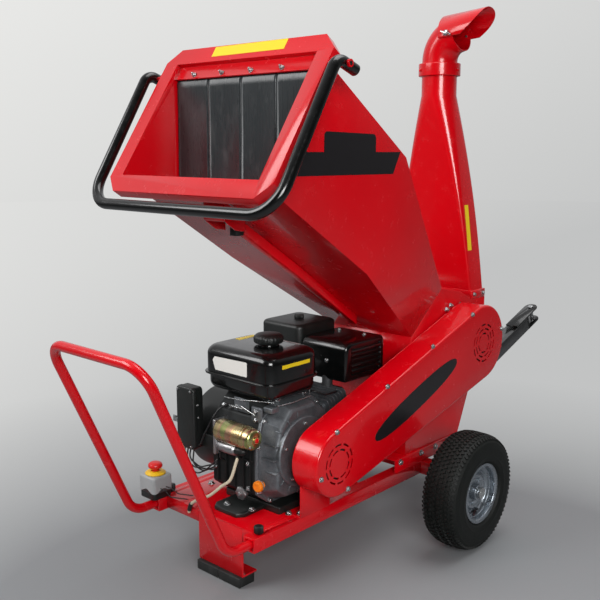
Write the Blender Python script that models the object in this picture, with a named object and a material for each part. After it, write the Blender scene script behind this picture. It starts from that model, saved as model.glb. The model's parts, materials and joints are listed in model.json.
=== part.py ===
"""Petrol wood chipper: two-wheeled frame, engine, belt-driven rotor, hopper, chute and tow bar.

Metres, +Z up. X is the machine's width (+X the belt side), +Y runs from the handle to the tow
hitch. Stations are measured from the floor under the axle; at the end everything hangs from one
empty that puts the origin under the middle of the machine.
"""
import math

import bmesh
import bpy
from mathutils import Matrix, Vector

for old in list(bpy.data.objects):
    bpy.data.objects.remove(old)

# ---------------------------------------------------------------- driving dimensions
GAP = 0.0003                 # running or seating gap between neighbours

WHEEL_R = 0.165
TYRE_WIDTH = 0.112
TRACK = 0.748                # between the tyres' middle planes
RIM_R = 0.076                # bead seat
RIM_LIP = 0.0095
RIM_WIDTH = 0.096
AXLE_R = 0.010
HUB_R = 0.022

RAIL = 0.038                 # square side tubes
RAIL_TOP = 0.165
RAIL_RIGHT_X = 0.136         # middle of each side tube
RAIL_LEFT_X = -0.236
RAIL_FRONT = -0.630
RAIL_REAR = 0.090
AXLE_TUBE = 0.040            # square tube behind the rails that carries both wheels
ARM_X = 0.300                # outer face of the plates at its ends
ARM_PLATE = 0.006
TRAY_FRONT = -0.603
TRAY_REAR = -0.170
SHEET = 0.004

LEG_WIDTH = 0.168
FOOT_WIDTH = 0.164
FOOT_DEPTH = 0.055
FOOT_HEIGHT = 0.027
LEG_PLATE = 0.005

HANDLE_D = 0.0254
HANDLE_TOP = (-0.933, 0.655) # middle of the grip tube, Y and Z
HANDLE_BEND_Y = -0.705
HANDLE_INSERT = 0.110

STAND_TOP = 0.205
STAND_FRONT = -0.045
STAND_REAR = 0.303
TOW_ANGLE = math.radians(19.5)
TOW_TUBE = 0.050
TOW_START = (0.170, 0.1445)  # middle of the tube's lower end
TOW_LENGTH = 0.880
PIN_D = 0.014

HOUSING_HALF = 0.150
WALL = 0.004
ROTOR_AT = (0.293, 0.517)    # rotor shaft, Y and Z
ROTOR_R = 0.118
KNIFE_STEP = 0.010
CHAMBER_R = 0.140
SHAFT_R = 0.015
CRANK_AT = (-0.406, 0.320)   # crankshaft, Y and Z
CRANK_R = 0.0125

GUARD_X = 0.1553             # inner face of the belt guard's back plate
GUARD_PLATE = 0.003
COVER_X = 0.240              # outer face of the belt cover
COVER_SHEET = 0.002
COVER_R_LOW = 0.088
COVER_R_HIGH = 0.118
PULLEY_LOW_R = 0.045
PULLEY_HIGH_R = 0.070
BELT_X = 0.204
BELT_WIDTH = 0.034

MOUTH_AT = (-0.694, 1.045)   # lower inner edge of the hopper mouth, Y and Z
MOUTH_TILT = math.radians(33.7)
MOUTH_WIDTH = 0.4954
MOUTH_HEIGHT = 0.3458
RIM_BORDER = 0.044
RIM_CHAMFER = 0.040
RIM_RETURN = 0.030
HOPPER_SHEET = 0.003
FOLD_LOW = (-0.313, 0.800)
FOLD_HIGH = (-0.154, 1.090)
THROAT_LOW = (0.030, 0.565)
THROAT_HIGH = (0.184, 0.692)
CURTAIN_LIP = 0.042          # how far the lip above the curtain hangs down
CURTAIN_SHEET = 0.004
CURTAIN_STRIPS = 4

BAR_D = 0.028
BAR_HALF = 0.330
BAR_DROP = 0.080             # below the lower inner edge of the mouth
BAR_PIVOT = (0.311, -0.012)  # along the mouth and out of it
BAR_STUD_D = 0.010

CHUTE_BASE_Y = (0.362, 0.439)
CHUTE_BASE_Z = 0.636
CHUTE_SKIRT = 0.026
CHUTE_TOP_Z = 1.366
CHUTE_TOP_Y = 0.3665
CHUTE_R = 0.0555
CHUTE_SHEET = 0.0025
COLLAR_R = 0.066
COLLAR_Z = (1.337, 1.372)
SWIVEL_CLEAR = 0.0008        # round the chute's many-sided spigot
ELBOW_TURN = math.radians(75)
ELBOW_BEND_R = 0.080
ELBOW_START = 0.010          # straight length above the collar
ELBOW_END = 0.015            # straight length at the mouth
DEFLECTOR_R = 0.0585         # inside
DEFLECTOR_BACK = 0.045       # behind the mouth
DEFLECTOR_FRONT = 0.105
DEFLECTOR_PITCH = math.radians(85)
DEFLECTOR_ARC = math.radians(205)

ESTOP_SIZE = 0.066
ESTOP_AT = (-0.242, -0.620)

# ---------------------------------------------------------------- finishes: colour, roughness, metallic
RED = ((0.62, 0.01, 0.02), 0.25, 0.0)
BLACK_GLOSS = ((0.012, 0.012, 0.013), 0.2, 0.0)
BLACK_MATT = ((0.02, 0.02, 0.02), 0.6, 0.0)
RUBBER = ((0.018, 0.018, 0.018), 0.85, 0.0)
ZINC = ((0.62, 0.63, 0.65), 0.35, 1.0)
STEEL = ((0.45, 0.45, 0.46), 0.4, 1.0)
CAST = ((0.16, 0.165, 0.17), 0.55, 0.6)
PASSIVATED = ((0.62, 0.47, 0.2), 0.35, 1.0)
GREY_PLASTIC = ((0.38, 0.39, 0.4), 0.5, 0.0)
YELLOW = ((0.85, 0.55, 0.02), 0.45, 0.0)
SIGNAL_RED = ((0.75, 0.02, 0.02), 0.4, 0.0)
ORANGE = ((0.9, 0.28, 0.02), 0.5, 0.0)
CREAM = ((0.7, 0.64, 0.52), 0.6, 0.0)

root = bpy.data.objects.new("wood_chipper", None)
bpy.context.scene.collection.objects.link(root)


# ---------------------------------------------------------------- modelling helpers
def paint(obj, finish):
    colour, roughness, metallic = finish
    material = bpy.data.materials.new(obj.name + "_finish")
    material.use_nodes = True
    shader = material.node_tree.nodes["Principled BSDF"]
    shader.inputs["Base Color"].default_value = (*colour, 1.0)
    shader.inputs["Roughness"].default_value = roughness
    shader.inputs["Metallic"].default_value = metallic
    obj.data.materials.append(material)


def place(name, mesh, finish):
    """One sub-part, or with no finish a tool for the Booleans, which the build leaves out."""
    obj = bpy.data.objects.new(name, mesh)
    bpy.context.scene.collection.objects.link(obj)
    obj.parent = root
    if finish is None:
        obj.hide_render = True
        obj.display_type = "WIRE"
    else:
        paint(obj, finish)
    return obj


def from_bmesh(name, bm, finish, smooth=False):
    bmesh.ops.recalc_face_normals(bm, faces=bm.faces)
    mesh = bpy.data.meshes.new(name)
    bm.to_mesh(mesh)
    bm.free()
    if smooth:
        mesh.shade_smooth()
        mesh.set_sharp_from_angle(angle=math.radians(35))
    return place(name, mesh, finish)


def loft(name, loops, finish, smooth=False):
    """A closed solid through loops with equal numbers of points."""
    bm = bmesh.new()
    rings = [[bm.verts.new(point) for point in loop] for loop in loops]
    count = len(rings[0])
    for low, high in zip(rings, rings[1:]):
        for i in range(count):
            j = (i + 1) % count
            bm.faces.new((low[i], low[j], high[j], high[i]))
    bm.faces.new(rings[0])
    bm.faces.new(rings[-1])
    return from_bmesh(name, bm, finish, smooth)


def box(name, xs, ys, zs, finish=None, frame=None, bevel=0.0):
    frame = frame or Matrix.Identity(4)
    loops = [[frame @ Vector((x, y, z)) for x, y in
              ((xs[0], ys[0]), (xs[1], ys[0]), (xs[1], ys[1]), (xs[0], ys[1]))] for z in zs]
    obj = loft(name, loops, finish)
    if bevel:
        round_edges(obj, bevel)
    return obj


def round_edges(obj, width, segments=2):
    edge = obj.modifiers.new("rounded edges", "BEVEL")
    edge.width = width
    edge.segments = segments
    edge.limit_method = "ANGLE"
    edge.angle_limit = math.radians(50)


def prism(name, outline, span, finish=None, plane="YZ", frame=None, smooth=False):
    """An outline in one plane, drawn out along the third axis over span."""
    frame = frame or Matrix.Identity(4)
    order = {"YZ": lambda a, b, c: (c, a, b), "XZ": lambda a, b, c: (a, c, b),
             "XY": lambda a, b, c: (a, b, c)}[plane]
    loops = [[frame @ Vector(order(a, b, level)) for a, b in outline] for level in span]
    return loft(name, loops, finish, smooth)


def slots(name, outlines, span, plane="YZ"):
    """One Boolean tool made of many separate prisms."""
    order = {"YZ": lambda a, b, c: (c, a, b), "XZ": lambda a, b, c: (a, c, b),
             "XY": lambda a, b, c: (a, b, c)}[plane]
    bm = bmesh.new()
    for outline in outlines:
        low, high = [[bm.verts.new(order(a, b, level)) for a, b in outline] for level in span]
        for i in range(len(low)):
            j = (i + 1) % len(low)
            bm.faces.new((low[i], low[j], high[j], high[i]))
        bm.faces.new(low)
        bm.faces.new(high)
    return from_bmesh(name, bm, None)


def slot_ring(at, radius, count, gap, thick=0.005):
    """Outlines of the curved slots in one ring."""
    outlines = []
    for k in range(count):
        start = 360 / count * k + gap / 2
        end = start + 360 / count - gap
        outlines.append(arc(at, radius + thick / 2, start, end, 2) + arc(at, radius - thick / 2, end, start, 2))
    return outlines


def turned(name, profile, at, axis, finish, sides=32, ring=False, smooth=True):
    """A profile of (radius, height) turned about an axis; ring closes it on itself."""
    turn = Vector((0, 0, 1)).rotation_difference(Vector(axis)).to_matrix().to_4x4()
    frame = Matrix.Translation(at) @ turn
    bm = bmesh.new()
    rings = []
    for radius, height in profile:
        if radius < 1e-6:
            rings.append([bm.verts.new(frame @ Vector((0, 0, height)))])
            continue
        points = []
        for i in range(sides):
            angle = math.tau * i / sides
            points.append(bm.verts.new(frame @ Vector((radius * math.cos(angle),
                                                       radius * math.sin(angle), height))))
        rings.append(points)
    pairs = list(zip(rings, rings[1:]))
    if ring:
        pairs.append((rings[-1], rings[0]))
    for a, b in pairs:
        for i in range(sides):
            j = (i + 1) % sides
            corners = [a[i % len(a)], a[j % len(a)], b[j % len(b)], b[i % len(b)]]
            bm.faces.new(list(dict.fromkeys(corners)))
    return from_bmesh(name, bm, finish, smooth)


def disc(name, radius, span, at, axis, finish=None, sides=32):
    """A plain cylinder from span[0] to span[1] along its axis."""
    profile = [(0, span[0]), (radius, span[0]), (radius, span[1]), (0, span[1])]
    return turned(name, profile, at, axis, finish, sides)


def rounded_path(points, radii, steps=6):
    """A path through points with an arc of the given radius at each inner corner."""
    path = [Vector(points[0])]
    for i, radius in enumerate(radii, start=1):
        corner = Vector(points[i])
        back = (Vector(points[i - 1]) - corner).normalized()
        ahead = (Vector(points[i + 1]) - corner).normalized()
        half = back.angle(ahead) / 2
        reach = radius / math.tan(half)
        centre = corner + (back + ahead).normalized() * (radius / math.sin(half))
        start = corner + back * reach - centre
        end = corner + ahead * reach - centre
        turn = start.angle(end)
        for k in range(steps + 1):
            t = k / steps
            spoke = (start * math.sin((1 - t) * turn) + end * math.sin(t * turn)) / math.sin(turn)
            path.append(centre + spoke)
    path.append(Vector(points[-1]))
    return path


def sweep(name, path, radius, finish, sides=14):
    """A round bar along a path, its rings carried on without twisting."""
    path = [Vector(p) for p in path]
    tangents = []
    for i in range(len(path)):
        ahead = path[min(i + 1, len(path) - 1)] - path[i]
        behind = path[i] - path[max(i - 1, 0)]
        tangents.append((ahead.normalized() + behind.normalized()).normalized())
    side = tangents[0].orthogonal().normalized()
    loops = []
    for i, (point, tangent) in enumerate(zip(path, tangents)):
        if i:
            side = tangents[i - 1].rotation_difference(tangent) @ side
        other = tangent.cross(side)
        loops.append([point + radius * (math.cos(math.tau * k / sides) * side
                                        + math.sin(math.tau * k / sides) * other)
                      for k in range(sides)])
    return loft(name, loops, finish, smooth=True)


def combine(obj, tool, operation):
    tool.hide_render = True
    tool.display_type = "WIRE"
    boolean = obj.modifiers.new(tool.name, "BOOLEAN")
    boolean.operation = operation
    boolean.solver = "EXACT"
    boolean.object = tool


def cut(obj, *tools):
    for tool in tools:
        combine(obj, tool, "DIFFERENCE")


def join(obj, *tools):
    for tool in tools:
        combine(obj, tool, "UNION")


def hinge_at(obj, point):
    """Moves an object's origin onto its joint's axis without moving its shape."""
    obj.data.transform(Matrix.Translation(-Vector(point)))
    obj.location = point


def arc(centre, radius, start, end, steps):
    """Points on an arc, in degrees."""
    points = []
    for k in range(steps + 1):
        angle = math.radians(start + (end - start) * k / steps)
        points.append((centre[0] + radius * math.cos(angle), centre[1] + radius * math.sin(angle)))
    return points


def rounded_rectangle(half_x, half_y, radius, steps=4):
    """Corner arcs of a rectangle about the origin, counter-clockwise."""
    points = []
    for sx, sy, start in ((1, 1, 0), (-1, 1, 90), (-1, -1, 180), (1, -1, 270)):
        centre = (sx * (half_x - radius), sy * (half_y - radius))
        points += arc(centre, radius, start, start + 90, steps)
    return points


def belt_outline(low, low_r, high, high_r, steps=16):
    """The outline of a belt round two circles, in their own plane."""
    along = math.degrees(math.atan2(high[1] - low[1], high[0] - low[0]))
    spread = math.degrees(math.asin((high_r - low_r) / math.dist(low, high)))
    top = along + 90 + spread
    bottom = along - 90 - spread
    return arc(high, high_r, bottom, top, steps) + arc(low, low_r, top, bottom + 360, steps)


# ---------------------------------------------------------------- frame
RAIL_MID_Z = RAIL_TOP - RAIL / 2
SOCKET = HANDLE_D + 2 * GAP
RAIL_OUT_RIGHT = RAIL_RIGHT_X + RAIL / 2
RAIL_OUT_LEFT = RAIL_LEFT_X - RAIL / 2
BAY = (RAIL_LEFT_X + RAIL / 2 + GAP, RAIL_RIGHT_X - RAIL / 2 - GAP)
KNOB_RIGHT_Y = RAIL_FRONT + 0.035
KNOB_LEFT_Y = RAIL_FRONT + 0.058   # behind the stop button's box
KNOB_STEM_R = 0.004


def build_rail(name, x, knob_y):
    half = RAIL / 2
    rail = box(name, (x - half, x + half), (RAIL_FRONT, RAIL_REAR), (RAIL_TOP - RAIL, RAIL_TOP), RED)
    bore = SOCKET / 2
    cut(rail,
        box(name + "_bore", (x - bore, x + bore), (RAIL_FRONT - 0.01, RAIL_REAR + 0.01),
            (RAIL_MID_Z - bore, RAIL_MID_Z + bore)),
        disc(name + "_knob_hole", KNOB_STEM_R + GAP, (0, RAIL), (x, knob_y, RAIL_MID_Z), (0, 0, 1),
             sides=12))


def build_frame():
    build_rail("side_rail_right", RAIL_RIGHT_X, KNOB_RIGHT_Y)
    build_rail("side_rail_left", RAIL_LEFT_X, KNOB_LEFT_Y)
    tray = box("engine_tray", BAY, (TRAY_FRONT, TRAY_REAR), (RAIL_TOP - SHEET, RAIL_TOP), RED)
    join(tray, box("tray_lip", BAY, (TRAY_FRONT, TRAY_FRONT + LEG_PLATE),
                   (RAIL_TOP - RAIL + 0.004, RAIL_TOP - SHEET / 2)))
    half = LEG_WIDTH / 2
    leg_top = RAIL_TOP - SHEET - GAP
    cut(tray, box("leg_notch", (-half - GAP, half + GAP), (TRAY_FRONT - 0.01, TRAY_FRONT + 0.02),
                  (0.0, leg_top + GAP)))
    tube_front = TRAY_FRONT + LEG_PLATE + GAP
    join(tray, box("front_cross_tube", BAY, (tube_front, tube_front + 0.025),
                   (RAIL_TOP - SHEET - 0.025, RAIL_TOP - SHEET / 2)))

    foot_back = TRAY_FRONT + FOOT_DEPTH - 0.003
    sole = FOOT_HEIGHT + GAP
    leg = box("front_leg", (-half, half), (TRAY_FRONT, TRAY_FRONT + LEG_PLATE), (sole, leg_top), RED)
    join(leg, box("foot_plate", (-half, half), (TRAY_FRONT, foot_back), (sole, sole + LEG_PLATE)))
    for name, side in (("foot_pad_left", -1), ("foot_pad_right", 1)):
        span = sorted((side * 0.0005, side * FOOT_WIDTH / 2))
        box(name, span, (TRAY_FRONT - 0.010, TRAY_FRONT - 0.010 + FOOT_DEPTH), (0, FOOT_HEIGHT),
            RUBBER, bevel=0.002)


def build_axle():
    """A cross tube behind the rails and, at each end, a plate with the wheel's spindle on it."""
    low = RAIL_REAR + GAP
    high = low + AXLE_TUBE
    reach = ARM_X - ARM_PLATE - GAP
    box("axle_tube", (-reach, reach), (low, high), (RAIL_TOP - AXLE_TUBE, RAIL_TOP), RED)
    hub_in = TRACK / 2 - 0.035 - GAP
    hub_out = TRACK / 2 + 0.038 + GAP
    tip = TRACK / 2 + RIM_WIDTH / 2
    for name, side in (("stub_axle_right", 1), ("stub_axle_left", -1)):
        outline = [(-0.030, WHEEL_R - 0.026), (high, RAIL_TOP - AXLE_TUBE), (high, RAIL_TOP + 0.004),
                   (0.030, WHEEL_R + 0.030), (-0.020, WHEEL_R + 0.030), (-0.032, WHEEL_R + 0.018)]
        plate = prism(name, outline, sorted((side * (ARM_X - ARM_PLATE), side * ARM_X)), RED)
        profile = [(0, -0.003), (0.016, -0.003), (0.016, hub_in - ARM_X), (AXLE_R, hub_in - ARM_X),
                   (AXLE_R, hub_out - ARM_X), (0.016, hub_out - ARM_X), (0.016, tip - ARM_X),
                   (0, tip - ARM_X)]
        join(plate, turned(name + "_spindle", profile, (side * ARM_X, 0, WHEEL_R), (side, 0, 0), None, 24))


def build_wheel(suffix, side):
    centre = (side * TRACK / 2, 0, WHEEL_R)
    half = RIM_WIDTH / 2
    bead = RIM_R + GAP
    seat = half - 0.003 - GAP
    wide = TYRE_WIDTH / 2
    outside = [(bead, seat), (RIM_R + RIM_LIP + 0.002, seat), (RIM_R + 0.018, wide - 0.002),
               (WHEEL_R - 0.026, wide), (WHEEL_R - 0.007, wide - 0.009), (WHEEL_R, wide - 0.024)]
    inside = [(WHEEL_R - 0.012, wide - 0.022), (RIM_R + 0.020, wide - 0.010), (bead, seat - 0.012)]
    mirror = [(r, -h) for r, h in reversed(outside)]
    profile = outside + mirror + [(r, -h) for r, h in reversed(inside)] + inside
    tyre = turned("tyre_" + suffix, profile, centre, (side, 0, 0), RUBBER, 40, ring=True)
    hinge_at(tyre, centre)

    barrel = RIM_R - 0.0025
    bore = AXLE_R + GAP
    web = [(HUB_R, 0.016), (0.034, 0.018), (0.039, 0.026), (0.051, 0.028), (0.056, 0.020),
           (barrel, 0.022)]
    profile = [(bore, 0.038), (HUB_R, 0.038), *web, (barrel, half), (RIM_R + RIM_LIP, half),
               (RIM_R + RIM_LIP, half - 0.003), (RIM_R, half - 0.003), (RIM_R, -half + 0.003),
               (RIM_R + RIM_LIP, -half + 0.003), (RIM_R + RIM_LIP, -half), (barrel, -half),
               *[(r, h - 0.003) for r, h in reversed(web)], (HUB_R, -0.035), (bore, -0.035)]
    rim = turned("rim_" + suffix, profile, centre, (side, 0, 0), ZINC, 30, ring=True)
    hinge_at(rim, centre)
    cut(rim, disc("valve_hole_" + suffix, 0.007, (-0.02, 0.05),
                  Vector(centre) + Vector((0, 0, -0.0645)), (side, 0, 0), sides=12))


def build_stand_and_tow_bar():
    """The raised channel under the rotor housing carries the tow bar between two cheeks."""
    right = RAIL_OUT_RIGHT
    left = RAIL_OUT_LEFT
    foot = RAIL_TOP + GAP
    stand = box("housing_stand", (left, right), (STAND_FRONT, STAND_REAR), (foot, STAND_TOP), RED)
    cut(stand, box("stand_hollow", (left + SHEET, right - SHEET), (STAND_FRONT - 0.01, STAND_REAR + 0.01),
                   (foot - 0.01, STAND_TOP - SHEET)))
    inner = TOW_TUBE / 2 + GAP
    for side in (-1, 1):
        join(stand, box(f"tow_cheek_{side}", sorted((side * inner, side * (inner + 0.005))),
                        (TOW_START[0] - 0.005, STAND_REAR), (0.108, STAND_TOP - SHEET / 2)))
    # the passage follows the tube: it lifts out of the stand before the stand's rear edge
    rise = math.tan(TOW_ANGLE)
    reach = TOW_TUBE / 2 / math.cos(TOW_ANGLE) + 2 * GAP
    passage = [(TOW_START[0] - 0.05, 0.100),
               (STAND_REAR + 0.080, 0.100),
               (STAND_REAR + 0.080, TOW_START[1] + (STAND_REAR + 0.080 - TOW_START[0]) * rise + reach),
               (TOW_START[0] - 0.05, TOW_START[1] - 0.05 * rise + reach)]
    cut(stand, prism("tow_passage", passage, (-inner, inner)))

    frame = Matrix.Translation((0, *TOW_START)) @ Matrix.Rotation(TOW_ANGLE, 4, "X")
    half = TOW_TUBE / 2
    tube = box("tow_bar", (-half, half), (0, TOW_LENGTH), (-half, half), BLACK_GLOSS, frame)
    inner = half - 0.003
    cut(tube, box("tow_bore", (-inner, inner), (-0.01, TOW_LENGTH + 0.01), (-inner, inner), frame=frame))
    clevis = box("hitch_clevis", (-half, half), (TOW_LENGTH + GAP, TOW_LENGTH + 0.008), (-half, half),
                 BLACK_GLOSS, frame)
    strap = arc((0, TOW_LENGTH + 0.075), half, 0, 180, 10)
    top = [(half, TOW_LENGTH - 0.080), *strap, (-half, TOW_LENGTH - 0.080)]
    low = [(half, TOW_LENGTH + GAP), *strap, (-half, TOW_LENGTH + GAP)]
    join(clevis,
         prism("clevis_top", top, (half + GAP, half + 0.006), plane="XY", frame=frame),
         box("clevis_step", (-half, half), (TOW_LENGTH + GAP, TOW_LENGTH + 0.008),
             (half - 0.002, half + 0.003), frame=frame),
         prism("clevis_low", low, (-half, -half + 0.006), plane="XY", frame=frame))
    pin_at = frame @ Vector((0, TOW_LENGTH + 0.075, 0))
    axis = frame.to_3x3() @ Vector((0, 0, 1))
    cut(clevis, disc("pin_hole", PIN_D / 2 + GAP, (-0.05, 0.05), pin_at, axis, sides=20))
    head = half + 0.006 + GAP
    profile = [(0, -half - 0.012), (PIN_D / 2 - 0.002, -half - 0.012), (PIN_D / 2, -half - 0.008),
               (PIN_D / 2, head), (PIN_D / 2 + 0.003, head), (PIN_D / 2 + 0.003, head + 0.004),
               (0, head + 0.004)]
    pin = turned("hitch_pin", profile, pin_at, axis, ZINC, 20)
    hinge_at(pin, pin_at)


# ---------------------------------------------------------------- rotor housing and drive
INLET_FLOOR = Vector((ROTOR_AT[0] - 0.060, ROTOR_AT[1] - 0.118))
COUNTER_KNIFE = (0.138, 0.179)   # along the floor from the throat's lower edge


def build_housing():
    half = HOUSING_HALF
    foot = STAND_TOP + GAP
    y, z = ROTOR_AT
    rear = CHUTE_BASE_Y[1] + 0.003
    front = CHUTE_BASE_Y[0] - 0.003
    top = CHUTE_BASE_Z - GAP
    outline = [(THROAT_LOW[0] - 0.020, foot), (STAND_REAR, foot), (rear - 0.080, 0.336),
               (rear, 0.470), (rear, top), (front, top), (y, z + CHAMBER_R + WALL + 0.008),
               THROAT_HIGH, THROAT_LOW, (THROAT_LOW[0] - 0.020, 0.480)]
    housing = prism("rotor_housing", outline, (-half, half), RED)
    hollow = half - WALL
    slant = (Vector(THROAT_HIGH) - Vector(THROAT_LOW)).normalized()
    low = Vector(THROAT_LOW) + slant * WALL
    high = Vector(THROAT_HIGH) - slant * WALL
    out = Vector((-slant.y, slant.x))
    chamber = prism("chamber", arc(ROTOR_AT, CHAMBER_R, 0, 360 - 360 / 32, 31), (-hollow, hollow))
    inlet = [low + out * 0.02, low, INLET_FLOOR, (y, z), (y, z + CHAMBER_R - 0.002),
             high, high + out * 0.02]
    outlet = [(front + 0.005, top + 0.02), (front + 0.005, z + 0.09), (y, z),
              (y + CHAMBER_R - 0.001, z), (rear - 0.005, z + 0.04), (rear - 0.005, top + 0.02)]
    skirt_rear = rear - 0.080 - 2 * WALL
    stand_hollow = [(THROAT_LOW[0] - 0.020 + WALL, foot - 0.01), (STAND_REAR - WALL - 0.003, foot - 0.01),
                    (skirt_rear, 0.336), (skirt_rear, 0.345),
                    (THROAT_LOW[0] - 0.020 + WALL, 0.345)]
    cut(housing, chamber, prism("inlet", inlet, (-hollow, hollow)),
        prism("outlet", outlet, (-hollow, hollow)), prism("skirt_hollow", stand_hollow, (-hollow, hollow)),
        disc("shaft_hole", SHAFT_R + 0.006, (-half - 0.01, half + 0.01), (0, y, z), (1, 0, 0), sides=24))
    notch = TOW_TUBE / 2 + GAP + 0.006
    cut(housing, box("tow_notch", (-notch, notch), (STAND_REAR - 0.02, STAND_REAR + 0.05),
                     (foot - 0.01, foot + 0.055)))

    for name, side in (("bearing_right", 1), ("bearing_left", -1)):
        start = half + GAP
        profile = [(SHAFT_R + GAP, start), (0.046, start), (0.046, start + 0.008),
                   (0.032, start + 0.012), (0.028, start + 0.026), (SHAFT_R + GAP, start + 0.026)]
        turned(name, profile, (0, y, z), (side, 0, 0), CAST, 28, ring=True)

    at = (0, y, z)
    drum = ROTOR_R
    wide = hollow - 0.006
    profile = [(0, -half - 0.036), (SHAFT_R, -half - 0.036), (SHAFT_R, -wide), (drum, -wide),
               (drum, wide), (SHAFT_R, wide), (SHAFT_R, BELT_X + BELT_WIDTH / 2 + 0.004),
               (0, BELT_X + BELT_WIDTH / 2 + 0.004)]
    rotor = turned("rotor", profile, at, (1, 0, 0), STEEL, 36)
    hinge_at(rotor, at)
    seat = drum - 0.014
    knife_half = wide - 0.004
    for k, name in enumerate(("rotor_knife_1", "rotor_knife_2")):
        spin = Matrix.Translation(at) @ Matrix.Rotation(math.radians(35 + 180 * k), 4, "X")
        pocket = box(name + "_pocket", (-knife_half - GAP, knife_half + GAP), (-0.012, 0.034 + GAP),
                     (seat, drum + 0.02), frame=spin)
        cut(rotor, pocket)
        edge = [(-0.002, seat + GAP), (0.034, seat + GAP), (0.034, seat + 0.010),
                (0.004, drum + KNIFE_STEP), (-0.002, seat + 0.010)]
        knife = prism(name, edge, (-knife_half, knife_half), STEEL, frame=spin)
        hinge_at(knife, at)
    # the counter knife lies on the inlet's floor, its edge just short of the knives' circle
    along = (INLET_FLOOR - low).normalized()
    floor = Matrix.Translation((0, *low)) @ Matrix.Rotation(math.atan2(along.y, along.x), 4, "X")
    box("counter_knife", (-hollow + 0.002, hollow - 0.002), (COUNTER_KNIFE[0], COUNTER_KNIFE[1]),
        (GAP, GAP + 0.008), STEEL, floor)


def pulley(name, radius, bore, at, x):
    half = BELT_WIDTH / 2
    rim = radius + 0.006
    profile = [(bore, -half), (rim, -half), (rim, -half + 0.003), (radius, -half + 0.006),
               (radius, half - 0.006), (rim, half - 0.003), (rim, half), (bore, half)]
    obj = turned(name, profile, (x, *at), (1, 0, 0), CAST, 36, ring=True)
    hinge_at(obj, (x, *at))
    return obj


def build_drive():
    pulley("rotor_pulley", PULLEY_HIGH_R, SHAFT_R + GAP, ROTOR_AT, BELT_X)
    pulley("engine_pulley", PULLEY_LOW_R, CRANK_R + GAP, CRANK_AT, BELT_X)
    belt = belt_outline(CRANK_AT, PULLEY_LOW_R + 0.010, ROTOR_AT, PULLEY_HIGH_R + 0.010)
    slack = 0.0008
    inner = belt_outline(CRANK_AT, PULLEY_LOW_R + slack, ROTOR_AT, PULLEY_HIGH_R + slack)
    half = BELT_WIDTH / 2 - 0.007
    loop = prism("drive_belt", belt, (BELT_X - half, BELT_X + half), RUBBER, smooth=True)
    cut(loop, prism("belt_inside", inner, (BELT_X - half - 0.01, BELT_X + half + 0.01)))

    start = GUARD_X
    end = GUARD_X + GUARD_PLATE
    low_r = COVER_R_LOW
    outline = belt_outline(CRANK_AT, low_r, ROTOR_AT, COVER_R_HIGH, 14)
    back = prism("guard_back_plate", outline, (start, end), RED)
    leg = [(CRANK_AT[0] - 0.058, RAIL_TOP + GAP), (CRANK_AT[0] + 0.060, RAIL_TOP + GAP),
           (CRANK_AT[0] + 0.060, CRANK_AT[1] - 0.05), (CRANK_AT[0] - 0.058, CRANK_AT[1] - 0.05)]
    join(back, prism("guard_leg", leg, (start, end)))
    foot = [(RAIL_OUT_RIGHT - 0.030, RAIL_TOP + GAP), (end, RAIL_TOP + GAP), (end, RAIL_TOP + GAP + SHEET),
            (RAIL_OUT_RIGHT - 0.030, RAIL_TOP + GAP + SHEET)]
    join(back, prism("guard_foot", foot, (CRANK_AT[0] - 0.058, CRANK_AT[0] + 0.060), plane="XZ"))
    cut(back, disc("crank_clearance", 0.034, (0, 0.3), (0, *CRANK_AT), (1, 0, 0)),
        disc("bearing_clearance", 0.047, (0, 0.3), (0, *ROTOR_AT), (1, 0, 0)))

    rim = end + GAP
    cover = loft("belt_cover", pan_loops(0.0, (rim, COVER_X - 0.006, COVER_X - 0.002, COVER_X)), RED, smooth=True)
    pocket = (rim - 0.01, COVER_X - 0.006, COVER_X - 0.004, COVER_X - COVER_SHEET)
    cut(cover, loft("cover_pocket", pan_loops(COVER_SHEET, pocket), None))
    vents = []
    for at, rings in ((CRANK_AT, (0.036, 0.050)), (ROTOR_AT, (0.030, 0.045, 0.060))):
        for radius in rings:
            vents += slot_ring(at, radius, 6, 20)
    cut(cover, slots("cover_vents", vents, (COVER_X - 0.02, COVER_X + 0.01)))


def pan_loops(inset, levels):
    """Outlines of the pan at four levels, the last two drawn in to round its edge."""
    loops = []
    for x, draw in zip(levels, (0.0, 0.0, 0.0015, 0.0055)):
        shape = belt_outline(CRANK_AT, COVER_R_LOW - inset - draw, ROTOR_AT, COVER_R_HIGH - inset - draw, 14)
        loops.append([(x, y, z) for y, z in shape])
    return loops


# ---------------------------------------------------------------- hopper
MOUTH = Matrix.Translation((0, *MOUTH_AT)) @ Matrix.Rotation(math.pi / 2 - MOUTH_TILT, 4, "X")


def section(low, high, half, inset):
    """A four-cornered section of the hopper between two points of its side view."""
    low = Vector(low)
    high = Vector(high)
    along = (high - low).normalized() * inset
    low = low + along
    high = high - along
    wide = half - inset
    return [(-wide, *low), (wide, *low), (wide, *high), (-wide, *high)]


def hopper_solid(name, inset, start, overshoot, finish=None):
    """The hopper's body, inset from its outside; start is how far out of the mouth plane it begins."""
    mouth_high = (MOUTH_AT[0] + MOUTH_HEIGHT * math.sin(MOUTH_TILT),
                  MOUTH_AT[1] + MOUTH_HEIGHT * math.cos(MOUTH_TILT))
    half = MOUTH_WIDTH / 2
    out = MOUTH.to_3x3() @ Vector((0, 0, start))
    slant = (Vector(THROAT_HIGH) - Vector(THROAT_LOW)).normalized()
    down = Vector((0, slant.y, -slant.x))
    mouth = [Vector(p) + out for p in section(MOUTH_AT, mouth_high, half, inset)]
    fold = section(FOLD_LOW, FOLD_HIGH, half, inset)
    throat = [Vector(p) - down * GAP for p in section(THROAT_LOW, THROAT_HIGH, HOUSING_HALF, inset)]
    loops = [mouth, fold, throat]
    if overshoot:
        loops.append([p + down * overshoot for p in throat])
    return loft(name, loops, finish)


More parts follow.
